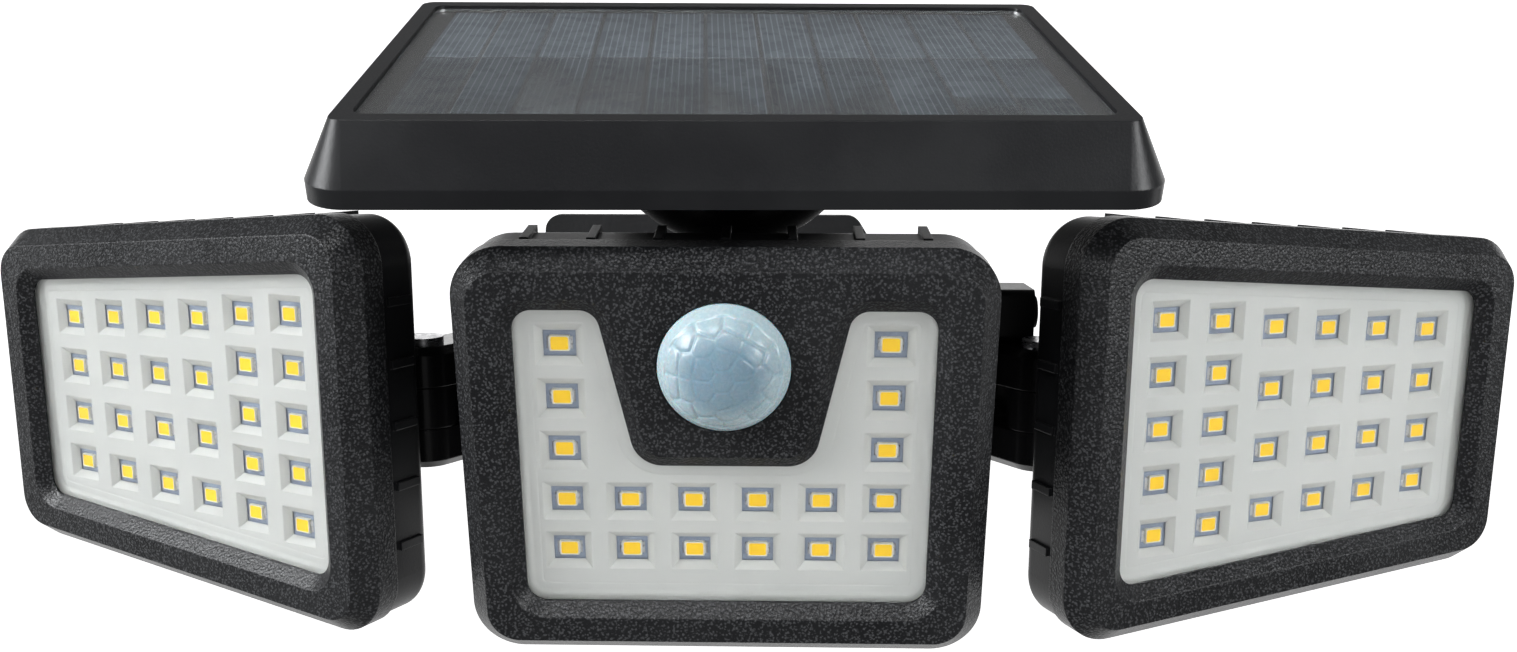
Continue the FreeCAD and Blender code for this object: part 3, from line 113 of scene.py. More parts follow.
def window(head, grow):
    """Corners of the opening in a head's frame, larger by grow: (across, up, radius)."""
    corner = WINDOW_ROUND + grow
    around = [corner_at(head, r, u, WINDOW_INSET - grow) + (corner,) for r, u in CORNERS]
    if head != "centre":
        return around
    slant = (TONGUE_TOP - TONGUE_FOOT) / (CENTRE_TALL / 2 - WINDOW_INSET - TONGUE_END)
    out = grow * (slant - math.sqrt(1 + slant ** 2))
    top, foot = around[2][1], TONGUE_END + grow
    tongue = [(TONGUE_TOP + out, top, corner), (TONGUE_FOOT + out, foot, TONGUE_ROUND - grow),
              (-TONGUE_FOOT - out, foot, TONGUE_ROUND - grow), (-TONGUE_TOP - out, top, corner)]
    return around[:3] + tongue + around[3:]


def rounded(corners, steps=8):
    """Points along a closed outline whose corners are rounded."""
    points = []
    count = len(corners)
    for i, (x, y, radius) in enumerate(corners):
        here = Vector((x, y))
        before = (Vector(corners[i - 1][:2]) - here).normalized()
        after = (Vector(corners[(i + 1) % count][:2]) - here).normalized()
        half = before.angle(after) / 2
        along = radius / math.tan(half)
        start, end = here + before * along, here + after * along
        centre = here + (before + after).normalized() * (radius / math.sin(half))
        first = math.atan2(*(start - centre).yx)
        turn = math.atan2(*(end - centre).yx) - first
        turn = (turn + math.pi) % (2 * math.pi) - math.pi
        for step in range(steps + 1):
            angle = first + turn * step / steps
            points.append(centre + Vector((math.cos(angle), math.sin(angle))) * radius)
    return points


def chips(head):
    """Places of a head's chips: (across, up)."""
    if head == "centre":
        rows = [[0, 5], [0, 5], [0, 5], range(6), range(6)]
        return [((column - 2.5) * CENTRE_PITCH, CENTRE_ROWS_TOP - row * CENTRE_ROWS_PITCH)
                for row, columns in enumerate(rows) for column in columns]
    places = []
    for column in range(6):
        across = INNER[head] * (2.5 - column) * SIDE_PITCH
        size = 1 - SIDE_SHRINK * column / 5
        pitch, count = FULL_COLUMN if column < 2 else SHORT_COLUMN
        places += [(across, (step - (count - 1) / 2) * pitch * size) for step in range(count)]
    return places


# ---- materials -----------------------------------------------------------------------------------

# The mix node's colour sockets, which share their names with its sockets for other data.
MIX_FIRST, MIX_SECOND, MIX_RESULT = 6, 7, 2


class Shade:
    """A procedural material being put together from nodes."""

    def __init__(self, name, colour, rough, **settings):
        self.material = bpy.data.materials.new(name)
        self.material.use_nodes = True
        self.tree = self.material.node_tree
        self.surface = self.tree.nodes["Principled BSDF"]
        self.set(self.surface, "Base Color", (*colour, 1))
        self.set(self.surface, "Roughness", rough)
        for key, number in settings.items():
            self.set(self.surface, key.replace("_", " "), number)
        self.where = self.add("ShaderNodeTexCoord").outputs["Object"]

    def add(self, kind, **settings):
        node = self.tree.nodes.new(kind)
        for key, setting in settings.items():
            setattr(node, key, setting)
        return node

    def set(self, node, socket, thing):
        if isinstance(thing, bpy.types.NodeSocket):
            self.tree.links.new(thing, node.inputs[socket])
        else:
            node.inputs[socket].default_value = thing

    def moved(self, matrix):
        """Makes the texture's coordinates those of a part's own frame."""
        place, turn, _ = matrix.decompose()
        mapping = self.add("ShaderNodeMapping", vector_type="TEXTURE")
        self.set(mapping, "Vector", self.where)
        self.set(mapping, "Location", place)
        self.set(mapping, "Rotation", turn.to_euler("XYZ"))
        self.where = mapping.outputs["Vector"]
        return self

    def noise(self, scale, detail=2.0, roughness=0.5, where=None):
        node = self.add("ShaderNodeTexNoise")
        self.set(node, "Vector", where or self.where)
        self.set(node, "Scale", scale)
        self.set(node, "Detail", detail)
        self.set(node, "Roughness", roughness)
        return node.outputs["Fac"]

    def pebbles(self, scale):
        node = self.add("ShaderNodeTexVoronoi")
        self.set(node, "Vector", self.where)
        self.set(node, "Scale", scale)
        return node.outputs["Distance"]

    def maths(self, operation, a, b=0.0, clamp=False):
        node = self.add("ShaderNodeMath", operation=operation, use_clamp=clamp)
        self.set(node, 0, a)
        self.set(node, 1, b)
        return node.outputs[0]

    def spread(self, factor, low, high, start=0.0, end=1.0):
        """Maps the stretch from start to end onto low to high."""
        node = self.add("ShaderNodeMapRange")
        for socket, thing in (("Value", factor), ("From Min", start), ("From Max", end),
                              ("To Min", low), ("To Max", high)):
            self.set(node, socket, thing)
        return node.outputs["Result"]

    def between(self, factor, first, second):
        """A mix of two colours, each of them plain or the output of a node."""
        node = self.add("ShaderNodeMix", data_type="RGBA")
        self.set(node, "Factor", factor)
        for socket, colour in ((MIX_FIRST, first), (MIX_SECOND, second)):
            linked = isinstance(colour, bpy.types.NodeSocket)
            self.set(node, socket, colour if linked else (*colour, 1))
        return node.outputs[MIX_RESULT]

    def soften(self, radius=0.35):
        """Rounds the look of sharp edges."""
        node = self.add("ShaderNodeBevel", samples=4)
        self.set(node, "Radius", radius * MM)
        return node.outputs["Normal"]

    def bump(self, height, strength, depth, normal=None):
        node = self.add("ShaderNodeBump")
        self.set(node, "Height", height)
        self.set(node, "Strength", strength)
        self.set(node, "Distance", depth * MM)
        if normal:
            self.set(node, "Normal", normal)
        return node.outputs["Normal"]

    def finish(self, colour=None, rough=None, normal=None):
        if colour:
            self.set(self.surface, "Base Color", colour)
        if rough:
            self.set(self.surface, "Roughness", rough)
        if normal:
            self.set(self.surface, "Normal", normal)
        return self.material


def moulded(name, colour, lighter, rough=(0.34, 0.46), fine=1500, deep=0.05, edge=0.35,
            strength=0.5, speck=None, **settings):
    """Moulded plastic: a fine eroded grain over faint cloudy variation, with paler grain tips as a
    painted highlight.
    """
    shade = Shade(name, colour, rough[0], **settings)
    cloud = shade.noise(45, 3)
    grain = shade.noise(fine, 2, 0.6)
    cracks = shade.maths("MULTIPLY", shade.pebbles(fine * 0.8), 0.7)
    height = shade.maths("SUBTRACT", grain, cracks)
    tint = shade.between(shade.spread(cloud, 0, 1, 0.35, 0.65), colour, lighter)
    # Painted highlight: where a speck colour is given, it paints the grain tips paler in place of
    # glints off the grain.
    if speck:
        tint = shade.between(shade.spread(height, 0, 1, 0.16, 0.36), tint, speck)
    return shade.finish(
        tint, shade.spread(shade.maths("ADD", cloud, grain), rough[0], rough[1], 0.7, 1.3),
        shade.bump(height, strength, deep, shade.soften(edge)))


# The grained finish carries the painted highlight on its grain tips (speck).
grained = moulded("grained_black", (0.0050, 0.0052, 0.0058), (0.0085, 0.0088, 0.0095),
                  rough=(0.28, 0.36), fine=2300, deep=0.085, strength=1.0,
                  speck=(0.034, 0.035, 0.037), Specular_IOR_Level=0.22)
satin = moulded("satin_black", (0.0050, 0.0052, 0.0060), (0.0080, 0.0084, 0.0092),
                rough=(0.30, 0.40), fine=2600, deep=0.03, strength=0.4, Specular_IOR_Level=0.26)
gloss = moulded("gloss_black", (0.0040, 0.0040, 0.0045), (0.0060, 0.0060, 0.0065),
                rough=(0.14, 0.24), fine=900, deep=0.012, strength=0.3, Specular_IOR_Level=0.36)
powder = moulded("powder_coat", (0.0090, 0.0092, 0.010), (0.014, 0.014, 0.015),
                 rough=(0.42, 0.55), fine=1000, deep=0.06, strength=0.6, edge=0.3)
inner = moulded("inner_plastic", (0.05, 0.05, 0.055), (0.07, 0.07, 0.075), edge=0.2)
reflector = moulded("reflector_plastic", (0.70, 0.71, 0.685), (0.74, 0.745, 0.72),
                    rough=(0.38, 0.5), fine=1800, deep=0.012, strength=0.25, edge=0.2)


def make_rubber():
    """Dull black seals and the button's cap."""
    shade = Shade("rubber", (0.012, 0.012, 0.012), 0.7)
    speck = shade.noise(2200, 3, 0.6)
    return shade.finish(
        shade.between(shade.noise(120, 3), (0.010, 0.010, 0.010), (0.022, 0.022, 0.021)),
        shade.spread(speck, 0.6, 0.85, 0.3, 0.7), shade.bump(speck, 0.4, 0.03))


def make_steel():
    """Bright screws and pins with fine turned scratches."""
    shade = Shade("bright_steel", (0.62, 0.62, 0.63), 0.28, Metallic=1.0)
    stretched = shade.add("ShaderNodeMapping")
    shade.set(stretched, "Vector", shade.where)
    shade.set(stretched, "Scale", (1, 1, 6))
    scratch = shade.noise(700, 3, 0.6, stretched.outputs["Vector"])
    return shade.finish(
        shade.between(shade.noise(200, 2), (0.52, 0.52, 0.54), (0.68, 0.68, 0.69)),
        shade.spread(scratch, 0.2, 0.42, 0.3, 0.7), shade.bump(scratch, 0.2, 0.01))


def make_clear(name, rough, tint):
    """Clear plastic or glass with a very faint waviness."""
    shade = Shade(name, tint, rough, Transmission_Weight=1.0, IOR=1.49)
    cloud = shade.noise(60, 3)
    return shade.finish(None, shade.spread(cloud, rough, rough + 0.03, 0.35, 0.65),
                        shade.bump(shade.noise(90, 2), 0.05, 0.02))


def make_board():
    """A white board given the blue-grey of its shade, which is painted shade, with a fine weave."""
    # Painted shade: the blue-grey colours are the white board as it looks in shade at the foot of its
    # wells.
    shade = Shade("led_board", (0.30, 0.36, 0.47), 0.35)
    weave = shade.noise(1500, 2, 0.5)
    return shade.finish(
        shade.between(weave, (0.22, 0.28, 0.40), (0.36, 0.42, 0.54)),
        shade.spread(weave, 0.28, 0.45, 0.3, 0.7), shade.bump(weave, 0.2, 0.02))


def make_phosphor():
    """The yellow face of a chip, with a faint painted glow."""
    # The emission is a painted glow that brightens the yellow face.
    shade = Shade("phosphor", (0.95, 0.62, 0.005), 0.5, Emission_Color=(1.0, 0.58, 0.0, 1),
                  Emission_Strength=0.28, Specular_IOR_Level=0.1)
    grain = shade.noise(2600, 3, 0.6)
    return shade.finish(
        shade.between(grain, (0.96, 0.54, 0.004), (0.98, 0.68, 0.012)),
        shade.spread(grain, 0.25, 0.45, 0.3, 0.7), shade.bump(grain, 0.25, 0.02))


def make_package():
    """The cream body of a chip."""
    shade = Shade("chip_package", (0.86, 0.83, 0.70), 0.4)
    grain = shade.noise(2400, 2)
    return shade.finish(shade.between(grain, (0.85, 0.80, 0.62), (0.93, 0.91, 0.82)),
                        shade.spread(grain, 0.35, 0.5, 0.3, 0.7), shade.bump(grain, 0.2, 0.01))


def make_solder():
    """The pads beside a chip."""
    shade = Shade("solder", (0.7, 0.7, 0.7), 0.3, Metallic=1.0)
    grain = shade.noise(1800, 3)
    return shade.finish(shade.between(grain, (0.5, 0.5, 0.52), (0.78, 0.78, 0.78)),
                        shade.spread(grain, 0.2, 0.45, 0.3, 0.7), shade.bump(grain, 0.4, 0.03))


def make_dome_material():
    """Milky plastic, darker at the middle, with painted light that makes it paler towards the rim and
    at the bottom.
    """
    shade = Shade("milky_dome", (0.15, 0.22, 0.27), 0.26, Subsurface_Weight=0.4,
                  Subsurface_Scale=0.003, Specular_IOR_Level=0.35).moved(HEADS["centre"])
    radius = DOME["radius"] * MM
    split = shade.add("ShaderNodeSeparateXYZ")
    shade.set(split, "Vector", shade.where)
    up = shade.maths("SUBTRACT", split.outputs["Z"], DOME["height"] * MM)
    away = shade.maths("SQRT", shade.maths("ADD", shade.maths("POWER", split.outputs["X"], 2.0),
                                           shade.maths("POWER", up, 2.0)))
    # Painted light: rim lifts the colour towards the edge as light through the thin rim, and low
    # lifts the bottom to even out its shade.
    rim = shade.spread(away, 0.0, 1.0, 0.45 * radius, 0.95 * radius)
    cloud = shade.spread(shade.noise(140, 3), -0.12, 0.12, 0.35, 0.65)
    low = shade.spread(up, 0.30, 0.0, -0.8 * radius, 0.1 * radius)
    part = shade.maths("ADD", shade.maths("ADD", rim, cloud, True), low, True)
    fine = shade.noise(1600, 2)
    # The second colour is the pale tone of the painted light at the rim and the bottom.
    return shade.finish(shade.between(part, (0.118, 0.182, 0.228), (0.29, 0.37, 0.40)),
                        shade.spread(fine, 0.22, 0.32, 0.3, 0.7), shade.bump(fine, 0.12, 0.01))


def make_cells():
    """Dark cells with fine silver lines along the panel's depth."""
    line_pitch = 1.22 * MM
    shade = Shade("solar_cell", (0.05, 0.06, 0.08), 0.28, Coat_Weight=0.6).moved(PANEL)
    split = shade.add("ShaderNodeSeparateXYZ")
    shade.set(split, "Vector", shade.where)
    positive = shade.maths("ADD", split.outputs["X"], 1.0)
    phase = shade.maths("FRACT", shade.maths("DIVIDE", positive, line_pitch))
    near = shade.maths("ABSOLUTE", shade.maths("SUBTRACT", phase, 0.5))
    line = shade.spread(near, 1, 0, 0.0, 0.10)
    cloud = shade.noise(260, 3)
    base = shade.between(cloud, (0.122, 0.144, 0.168), (0.136, 0.158, 0.184))
    silver = shade.between(line, base, (0.46, 0.49, 0.52))
    return shade.finish(silver, shade.spread(cloud, 0.22, 0.34, 0.35, 0.65),
                        shade.bump(line, 0.3, 0.02))


def make_green_board():
    """The control board inside the rear body."""
    shade = Shade("circuit_board", (0.03, 0.20, 0.08), 0.35)
    weave = shade.noise(900, 2)
    return shade.finish(shade.between(weave, (0.02, 0.15, 0.06), (0.05, 0.25, 0.10)),
                        shade.spread(weave, 0.28, 0.42, 0.3, 0.7), shade.bump(weave, 0.2, 0.02))


def make_wrap():
    """The blue sleeve of the battery cells."""
    shade = Shade("battery_wrap", (0.05, 0.18, 0.42), 0.25, Coat_Weight=0.3)
    cloud = shade.noise(200, 2)
    return shade.finish(shade.between(cloud, (0.04, 0.14, 0.36), (0.07, 0.22, 0.48)),
                        shade.spread(cloud, 0.2, 0.32, 0.3, 0.7),
                        shade.bump(shade.noise(400, 2), 0.15, 0.03))


rubber = make_rubber()
steel = make_steel()
clear = make_clear("clear_lens", 0.02, (0.97, 0.98, 0.98))
pane = make_clear("panel_pane", 0.22, (0.93, 0.96, 0.97))
board = make_board()
phosphor = make_phosphor()
package = make_package()
solder = make_solder()
milky = make_dome_material()
cells = make_cells()
green_board = make_green_board()
wrap = make_wrap()

# The pieces of a head go by the second part of their names, and all others by their whole names.
FINISH = {
    "frame": grained, "lens": clear, "reflector": reflector, "led_board": board, "leds": phosphor,
    "gasket": rubber, "housing": satin, "screws": steel, "swivel": gloss, "tilt_screw": steel,
}
SINGLE = {
    "wall_bracket": powder, "bracket_lock_screw": steel, "rear_body": satin,
    "rear_body_seal": rubber, "rear_cover": satin, "cover_screws": steel,
    "battery_holder": inner, "battery_cells": wrap, "control_board": green_board,
    "switch_box": satin, "switch_box_screws": steel, "button_seal": rubber,
    "mode_switch": green_board, "arm_left": gloss, "arm_right": gloss, "arm_screws": steel,
    "swivel_pins": steel, "centre_hinge_bolt": steel, "mode_button": rubber, "panel_cup": gloss,
    "turret_washer": steel, "turret_screw": steel, "panel_tilt_pin": steel,
    "panel_housing": satin, "panel_cover": grained, "solar_cells": cells, "panel_glass": pane,
    "panel_screws": steel, "pir_dome": milky, "pir_sensor": steel,
}


def dress(name):
    """Gives a node its one material."""
    slots = nodes[name].data.materials
    slots.clear()
    slots.append(SINGLE[name] if name in SINGLE else FINISH[name.split("_", 1)[1]])


for name in nodes:
    dress(name)


# ---- mesh pieces ---------------------------------------------------------------------------------

def piece(name, points, faces, matrix, body, materials, smooth=False, which=None):
    """A mesh from points in a part's own frame, in millimetres, that rides on a body.

    Closed pieces face outward, and open ones face the viewer."""
    mesh = bpy.data.meshes.new(name)
    mesh.from_pydata([matrix @ (Vector(point) * MM) for point in points], [], faces)
    mesh.validate()
    for material in materials:
        mesh.materials.append(material)
    if which:
        mesh.polygons.foreach_set("material_index", which)
    helper = bmesh.new()
    helper.from_mesh(mesh)
    bmesh.ops.remove_doubles(helper, verts=helper.verts, dist=WELD * MM)
    bmesh.ops.recalc_face_normals(helper, faces=helper.faces)
    viewer = matrix.to_3x3() @ Vector((0, -1, 0))
    open_sheet = any(edge.is_boundary for edge in helper.edges)
    toward = sum(face.normal.dot(viewer) * face.calc_area() for face in helper.faces)
    if open_sheet and toward < 0:
        bmesh.ops.reverse_faces(helper, faces=helper.faces)
    helper.to_mesh(mesh)
    helper.free()
    thing = bpy.data.objects.new(name, mesh)
    bpy.context.scene.collection.objects.link(thing)
    if smooth:
        mesh.shade_smooth()
    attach(thing, body)
    return thing


def sharpen(thing, angle):
    """Smooth shading that keeps edges sharper than the angle."""
    thing.data.set_sharp_from_angle(angle=rad(angle))


def chip_pieces(head):
    """Each chip: a cream package with a recessed yellow face, on two solder pads."""
    points, faces, which = [], [], []
    cream, yellow, metal = range(3)
    # Rings from the foot over the rim to the recessed face: (inset, level, cut of the corners).
    section = ((0, 0, 0.15), (0.01, 0.6, 0.15), (0.05, 0.7, 0.2), (0.19, 0.7, 0.24),
               (0.25, 0.62, 0.24))
    # A pad's lower and upper outline: (level, near, far, half its height).
    pad_levels = ((0.02, 1.7, 2.25, 1.15), (0.26, 1.7, 1.95, 1.0))

    def ring(inset, level, cut):
        start = len(points)
        half_wide, half_tall = CHIP_LONG / 2 - inset, CHIP_SHORT / 2 - inset
        for right, upper in CORNERS:
            ends = ((half_wide, half_tall - cut), (half_wide - cut, half_tall))
            for wide, tall in ends if right * upper > 0 else ends[::-1]:
                points.append((x + right * wide, -level, z + upper * tall))
        return list(range(start, start + 8))

    for x, z in chips(head):
        rings = [ring(*row) for row in section]
        for low, high in zip(rings, rings[1:]):
            for i in range(8):
                faces.append((low[i], low[(i + 1) % 8], high[(i + 1) % 8], high[i]))
                which.append(cream)
        faces.append(tuple(rings[-1]))
        which.append(yellow)
        for way in (-1, 1):
            start = len(points)
            for level, near, far, tall in pad_levels:
                for wide, up in ((near, -tall), (far, -tall), (far, tall), (near, tall)):
                    points.append((x + way * wide, -level, z + up))
            for quad in ((0, 1, 5, 4), (1, 2, 6, 5), (2, 3, 7, 6), (4, 5, 6, 7)):
                faces.append(tuple(start + i for i in quad))
                which.append(metal)
    thing = piece(head + "_chips", points, faces, HEADS[head], head + "_head",
                  (package, phosphor, solder), which=which)
    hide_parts(head + "_leds")


def reflector_field(head):
    """The moulded plate with a well over each chip: a sheet of strips from column to column."""
    points, faces = [], []
    # A well from its foot to the field: (distance out from the mouth's edge, level).
    profile = ((-0.9, 0.30), (-1.36, 0.30), (-1.33, 0.36), (-0.10, 1.42), (0.0, 1.49), (0.12, FIELD))
    columns = {}
    for x, z in chips(head):
        columns.setdefault(round(x, 3), []).append(z)
    reach = profile[-1][0]
    wide, tall = WELL_WIDE / 2 + reach, WELL_TALL / 2 + reach

    def side(across, ups):
        """Points up one side of a column, at the corners of its wells."""
        border = half_height(head, across) - REFLECTOR_INSET
        levels = [-border] + [z + way * tall for z in ups for way in (-1, 1)] + [border]
        return [(across, -FIELD, z) for z in levels]

    def face(around):
        start = len(points)
        points.extend(around)
        faces.append(tuple(range(start, start + len(around))))

    def well_ring(x, z, out, level):
        """The four corners of a well at one level."""
        return [(x + right * (WELL_WIDE / 2 + out), -level, z + upper * (WELL_TALL / 2 + out))
                for right, upper in CORNERS]

    left_end, right_end = [corner_at(head, way, 1, REFLECTOR_INSET)[0] for way in (-1, 1)]
    before = side(left_end, [])
    for x in sorted(columns):
        ups = sorted(columns[x])
        left, right = side(x - wide, ups), side(x + wide, ups)
        face(before + left[::-1])
        for k in range(0, len(left), 2):
            face((left[k], right[k], right[k + 1], left[k + 1]))
        for z in ups:
            rings = [well_ring(x, z, out, level) for out, level in profile]
            for low, high in zip(rings, rings[1:]):
                for k in range(4):
                    face((low[k], low[(k + 1) % 4], high[(k + 1) % 4], high[k]))
        before = right
    face(before + side(right_end, [])[::-1])
    field = piece(head + "_reflector_field", points, faces, HEADS[head], head + "_head",
                  (reflector,), smooth=True)
    sharpen(field, 25)
    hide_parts(head + "_reflector")


def reflector_bead(head):
    """A low ridge just inside the frame's edge, with a shallow step down to the field."""
    points, faces = [], []
    # From under the frame inward: (distance out from the opening's edge, level).
    section = [(2.0, BEAD - 0.05), (0.6, BEAD), (-0.2, BEAD - 0.03), (-0.7, BEAD - 0.14),
               (-1.05, BEAD - 0.30), (-1.5, BEAD - 0.36), (-1.95, BEAD - 0.38),
               (-2.3, BEAD - 0.42), (-2.6, FIELD + 0.015), (-2.7, FIELD - 0.05)]
    for out, level in section:
        row = [(p.x, -level, p.y) for p in rounded(window(head, out))]
        points.extend(row)
    count = len(row)
    for r in range(len(section) - 1):
        for i in range(count):
            j = (i + 1) % count
            faces.append((r * count + i, r * count + j, (r + 1) * count + j, (r + 1) * count + i))
    bead = piece(head + "_reflector_bead", points, faces, HEADS[head], head + "_head",
                 (reflector,), smooth=True)
    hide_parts(head + "_reflector")


def dome_piece():
    """The sensor lens: a plain rim, then rings of small lenses pressed into the cap."""
    rings, around = 96, 192
    rim_starts, rim_out, rim_slope = 0.80, 0.06, 0.03
    lens_out, crack_deep, sunk = 0.15, 0.15, 0.17
    last_ring, last_out = 0.97, 0.1
    cap = (DOME["radius"] ** 2 + DOME["rise"] ** 2) / 2 / DOME["rise"]
    below = cap - DOME["rise"]
    limit = math.asin(DOME["radius"] / cap)
    seeds = [(0.0, 0.0)]
    for ring, count, offset in ((0.27, 6, 0.5), (0.50, 9, 0.0), (0.70, 12, 0.5)):
        for k in range(count):
            seeds.append((ring, 2 * math.pi * (k + offset) / count))
    flat_seeds = [(r * math.cos(a), r * math.sin(a)) for r, a in seeds]

    def depth(radius, angle):
        """How far the surface sits out from the plain cap, in millimetres."""
        across, up = radius * math.cos(angle), radius * math.sin(angle)
        gaps = sorted(math.hypot(across - sx, up - sy) for sx, sy in flat_seeds)
        near, nearest = gaps[1] - gaps[0], gaps[0]
        inside = min(1.0, near / 0.05)
        scallop = rim_starts + 0.018 * math.cos(12 * angle)
        if radius > scallop:
            return rim_out * min(1.0, (radius - scallop) / rim_slope)
        relief = 0.25 + 0.75 * min(1.0, max(0.0, (radius - 0.48) / 0.1))
        bulge = lens_out * (1 - (nearest / 0.2) ** 2) * inside
        return relief * (bulge - crack_deep * (1 - inside)) - sunk

    points, faces = [(0, -(DOME["face"] + DOME["rise"]) - depth(0, 0), DOME["height"])], []
    for r in range(1, rings + 1):
        part = r / rings
        polar = limit * part
        for a in range(around):
            angle = 2 * math.pi * a / around
            tail = last_out * (1 - part) / (1 - last_ring)
            size = cap + (depth(part, angle) if part < last_ring else tail)
            points.append((size * math.sin(polar) * math.cos(angle),
                           -(DOME["face"] - below + size * math.cos(polar)),
                           DOME["height"] + size * math.sin(polar) * math.sin(angle)))
    for level in DOME["skirt"]:
        for a in range(around):
            angle = 2 * math.pi * a / around
            points.append((DOME["radius"] * math.cos(angle), -level,
                           DOME["height"] + DOME["radius"] * math.sin(angle)))
    for a in range(around):
        faces.append((0, 1 + a, 1 + (a + 1) % around))
    for r in range(rings + 1):
        for a in range(around):
            b = (a + 1) % around
            faces.append((1 + r * around + a, 1 + (r + 1) * around + a,
                          1 + (r + 1) * around + b, 1 + r * around + b))
    dome = piece("dome_lens", points, faces, HEADS["centre"], "centre_head",
                 (milky,), smooth=True)
    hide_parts("pir_dome")


def solids_of(node, matrix):
    """The points of each loose solid of a node, in a part's own frame and in millimetres."""
    helper = bmesh.new()
    helper.from_mesh(nodes[node].data)
    bmesh.ops.remove_doubles(helper, verts=helper.verts, dist=WELD * MM)
    back = matrix.inverted()
    unseen = set(helper.verts)
    solids = []
    for first in list(helper.verts):
        if first not in unseen:
            continue
        unseen.discard(first)
        group, waiting = [], [first]
        while waiting:
            vertex = waiting.pop()
            group.append(back @ vertex.co / MM)
            for edge in vertex.link_edges:
                other = edge.other_vert(vertex)
                if other in unseen:
                    unseen.discard(other)
                    waiting.append(other)
        solids.append(group)
    helper.free()
    return solids


def screw_pieces(node, matrix, along, body, thick):
    """Pan heads with a cross recess, in place of a node's plain screws.

    along points out of the head, and thick is the head's thickness."""
    points, faces = [], []
    along = Vector(along)
    side = along.orthogonal().normalized()
    up = along.cross(side)
    per_arm = 6
    steps = 4 * per_arm
    near = 0.05         # points this close to an end belong to it

    for solid in solids_of(node, matrix):
        levels = [point.dot(along) for point in solid]
        tip, top = min(levels), max(levels)
        flat = [point - along * point.dot(along) for point in solid]
        rim = [spot for spot, level in zip(flat, levels) if level > top - near]
        end = [spot for spot, level in zip(flat, levels) if level < tip + near]
        centre = sum(rim, Vector()) / len(rim)
        radius = max((spot - centre).length for spot in rim)
        shank = max((spot - centre).length for spot in end)
        wide, long, deep = 0.14 * radius, 0.52 * radius, 0.55 * thick

        def spot_at(across, rise, level):
            points.append(centre + along * level + side * across + up * rise)
            return len(points) - 1

        rings = []
        for size, level in ((shank * 0.55, tip), (shank, tip + 0.4 * shank), (shank, top - thick),
                            (radius, top - thick), (radius, top - 0.5 * thick),
                            (radius * 0.94, top - 0.2 * thick), (radius * 0.82, top)):
            rings.append([spot_at(size * math.cos(2 * math.pi * k / steps),
                                  size * math.sin(2 * math.pi * k / steps), level)
                          for k in range(steps)])
        faces.append(tuple(rings[0]))
        for low, high in zip(rings, rings[1:]):
            for k in range(steps):
                faces.append((low[k], low[(k + 1) % steps], high[(k + 1) % steps], high[k]))
        outlines = []
        for shrink, level in ((1.0, top), (0.72, top - deep)):
            outline = []
            for arm in range(4):
                turn = arm * math.pi / 2
                for far, off in ((long, -wide), (long, wide), (wide, wide)):
                    far, off = far * shrink, off * shrink
                    outline.append(spot_at(far * math.cos(turn) - off * math.sin(turn),
                                           far * math.sin(turn) + off * math.cos(turn), level))
            outlines.append(outline)
        edge, floor = outlines
        circle = rings[-1]
        # The flat top: a face over the end of each arm, and one in each quarter between the arms.
        for arm in range(4):
            start, tail = 3 * arm, arm * per_arm
            quarter = [circle[(tail + k) % steps] for k in range(per_arm - 1, 0, -1)]
            faces.append((edge[start], edge[start + 1], circle[tail + 1], circle[tail],
                          circle[tail - 1]))
            faces.append((edge[start + 1], edge[start + 2], edge[(start + 3) % 12], *quarter))
        for k in range(12):
            faces.append((edge[k], edge[(k + 1) % 12], floor[(k + 1) % 12], floor[k]))
        faces.append(tuple(floor))
    thing = piece(node + "_recessed", points, faces, matrix, body, (steel,),
                  smooth=True)
    sharpen(thing, 30)
    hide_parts(node)


HEAD_SCREW_THICK = 1.4
# The node, the frame it is built in, the way its heads point, its body and its heads' thickness.
OTHER_SCREWS = (
    ("panel_screws", PANEL, (0, 0, -1), "panel", 0.8),
    ("left_tilt_screw", HEADS["left"], (-1, 0, 0), "left_knuckle", 2.0),
    ("right_tilt_screw", HEADS["right"], (1, 0, 0), "right_knuckle", 2.0),
    ("bracket_lock_screw", Matrix(), (0, 0, -1), "root", 2.2),
)

for head in HEADS:
    chip_pieces(head)
    reflector_field(head)
    reflector_bead(head)
    screw_pieces(head + "_screws", HEADS[head], (0, 1, 0), head + "_head", HEAD_SCREW_THICK)
dome_piece()
for node, matrix, along, body, thick in OTHER_SCREWS:
    screw_pieces(node, matrix, along, body, thick)


# ---- camera, floor and light ---------------------------------------------------------------------

def make_camera():
    """The photograph's camera. Its axis meets the picture beside the middle: the lens is shifted."""
    wide, high = 1517, 652
    focal, middle_x, middle_y = 1300, 741.9, 373.2
    place = (0.00776, -0.3324, 0.05512)
    data = bpy.data.cameras.new("photo_camera")
    camera = bpy.data.objects.new("photo_camera", data)
    bpy.context.scene.collection.objects.link(camera)
    ahead = Vector((-0.022, 0.982, -0.190)).normalized()
    upward = Vector((-0.006, 0.190, 0.982))
    right = ahead.cross(upward).normalized()
    upward = right.cross(ahead)
    turn = Matrix((right, upward, -ahead)).transposed().to_4x4()
    camera.matrix_world = Matrix.Translation(place) @ turn
    data.sensor_width = 36
    data.lens = focal / wide * data.sensor_width
    data.shift_x = (wide / 2 - middle_x) / wide
    data.shift_y = (middle_y - high / 2) / wide
    data.clip_start = 0.01
    data.clip_end = 50
    bpy.context.scene.camera = camera


def make_floor_material():
    """Pale and softly glowing, a little dimmer in front."""
    shade = Shade("floor", (0.9, 0.9, 0.9), 0.8, Emission_Color=(1, 1, 1, 1))
    split = shade.add("ShaderNodeSeparateXYZ")
    shade.set(split, "Vector", shade.where)
    glow = shade.spread(split.outputs["Y"], 0.72, 0.9, -0.6, 0.5)
    shade.set(shade.surface, "Emission Strength", glow)
    return shade.finish(shade.between(shade.noise(2, 2), (0.90, 0.90, 0.90), (0.92, 0.92, 0.92)),
                        shade.spread(shade.noise(4, 2), 0.75, 0.9, 0.3, 0.7))


STAGE_HALF = 12


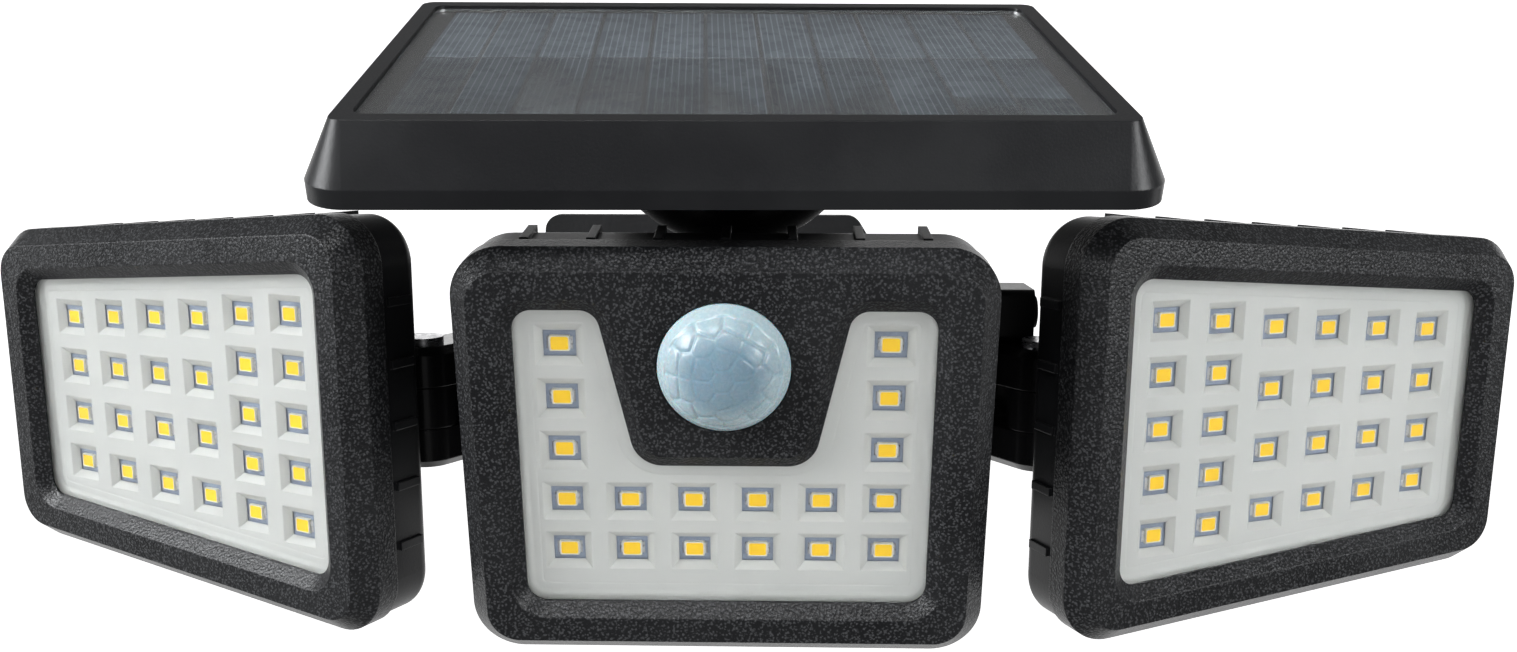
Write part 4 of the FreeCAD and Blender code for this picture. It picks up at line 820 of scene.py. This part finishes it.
def make_sheet(name, profile, material):
    """A strip of the stage, swept sideways from its profile."""
    points = [(x, y, z) for y, z in profile for x in (-STAGE_HALF, STAGE_HALF)]
    faces = [(2 * i, 2 * i + 1, 2 * i + 3, 2 * i + 2) for i in range(len(profile) - 1)]
    mesh = bpy.data.meshes.new(name)
    mesh.from_pydata(points, [], faces)
    mesh.shade_smooth()
    mesh.materials.append(material)
    sheet = bpy.data.objects.new(name, mesh)
    bpy.context.scene.collection.objects.link(sheet)
    unlit.objects.link(sheet)
    return sheet


def make_stage():
    """A pale floor well below the light, which curves up behind it; its front half isn't mirrored."""
    level, radius, back, top, steps = -0.35, 0.8, 2.2, 1.1, 24
    material = make_floor_material()
    behind = [(0, level)]
    for step in range(steps + 1):
        angle = math.pi / 2 * step / steps
        behind.append((back + radius * math.sin(angle), level + radius * (1 - math.cos(angle))))
    behind.append((back + radius, top))
    make_sheet("backdrop", behind, material)
    front = make_sheet("floor", [(-STAGE_HALF, level), (0, level)], material)
    front.visible_glossy = False
    for entry in unlit.collection_objects:
        entry.light_linking.link_state = "EXCLUDE"


def make_light(name, place, target, size, power, colour=(1, 1, 1)):
    """A soft panel that lights the object and leaves the floor as it is."""
    data = bpy.data.lights.new(name, "AREA")
    data.shape = "RECTANGLE"
    data.size, data.size_y = size
    data.energy = power
    data.color = colour
    light = bpy.data.objects.new(name, data)
    bpy.context.scene.collection.objects.link(light)
    light.location = place
    toward = Vector(target) - Vector(place)
    light.rotation_mode = "QUATERNION"
    light.rotation_quaternion = toward.to_track_quat("-Z", "Y")
    light.light_linking.receiver_collection = unlit


def make_world():
    """A dim even room, with white behind everything."""
    world = bpy.data.worlds.new("studio")
    world.use_nodes = True
    tree = world.node_tree
    background = tree.nodes["Background"]
    background.inputs["Color"].default_value = (1, 1, 1, 1)
    path = tree.nodes.new("ShaderNodeLightPath")
    level = tree.nodes.new("ShaderNodeMapRange")
    tree.links.new(path.outputs["Is Camera Ray"], level.inputs["Value"])
    level.inputs["To Min"].default_value = 0.2
    level.inputs["To Max"].default_value = 1.0
    tree.links.new(level.outputs["Result"], background.inputs["Strength"])
    bpy.context.scene.world = world


unlit = bpy.data.collections.new("unlit")
make_camera()
make_stage()
make_light("left", (-1.5, -0.75, 0.75), (0, -0.1, 0), (0.9, 0.9), 56, (0.97, 0.985, 1.0))
make_light("right", (1.3, -1.0, 0.45), (0, -0.1, 0), (0.7, 0.7), 20, (0.98, 0.99, 1.0))
make_light("front", (-0.25, -1.25, 1.35), (0, -0.08, 0), (0.9, 0.35), 18)
make_world()
bpy.context.scene.view_settings.view_transform = "Standard"
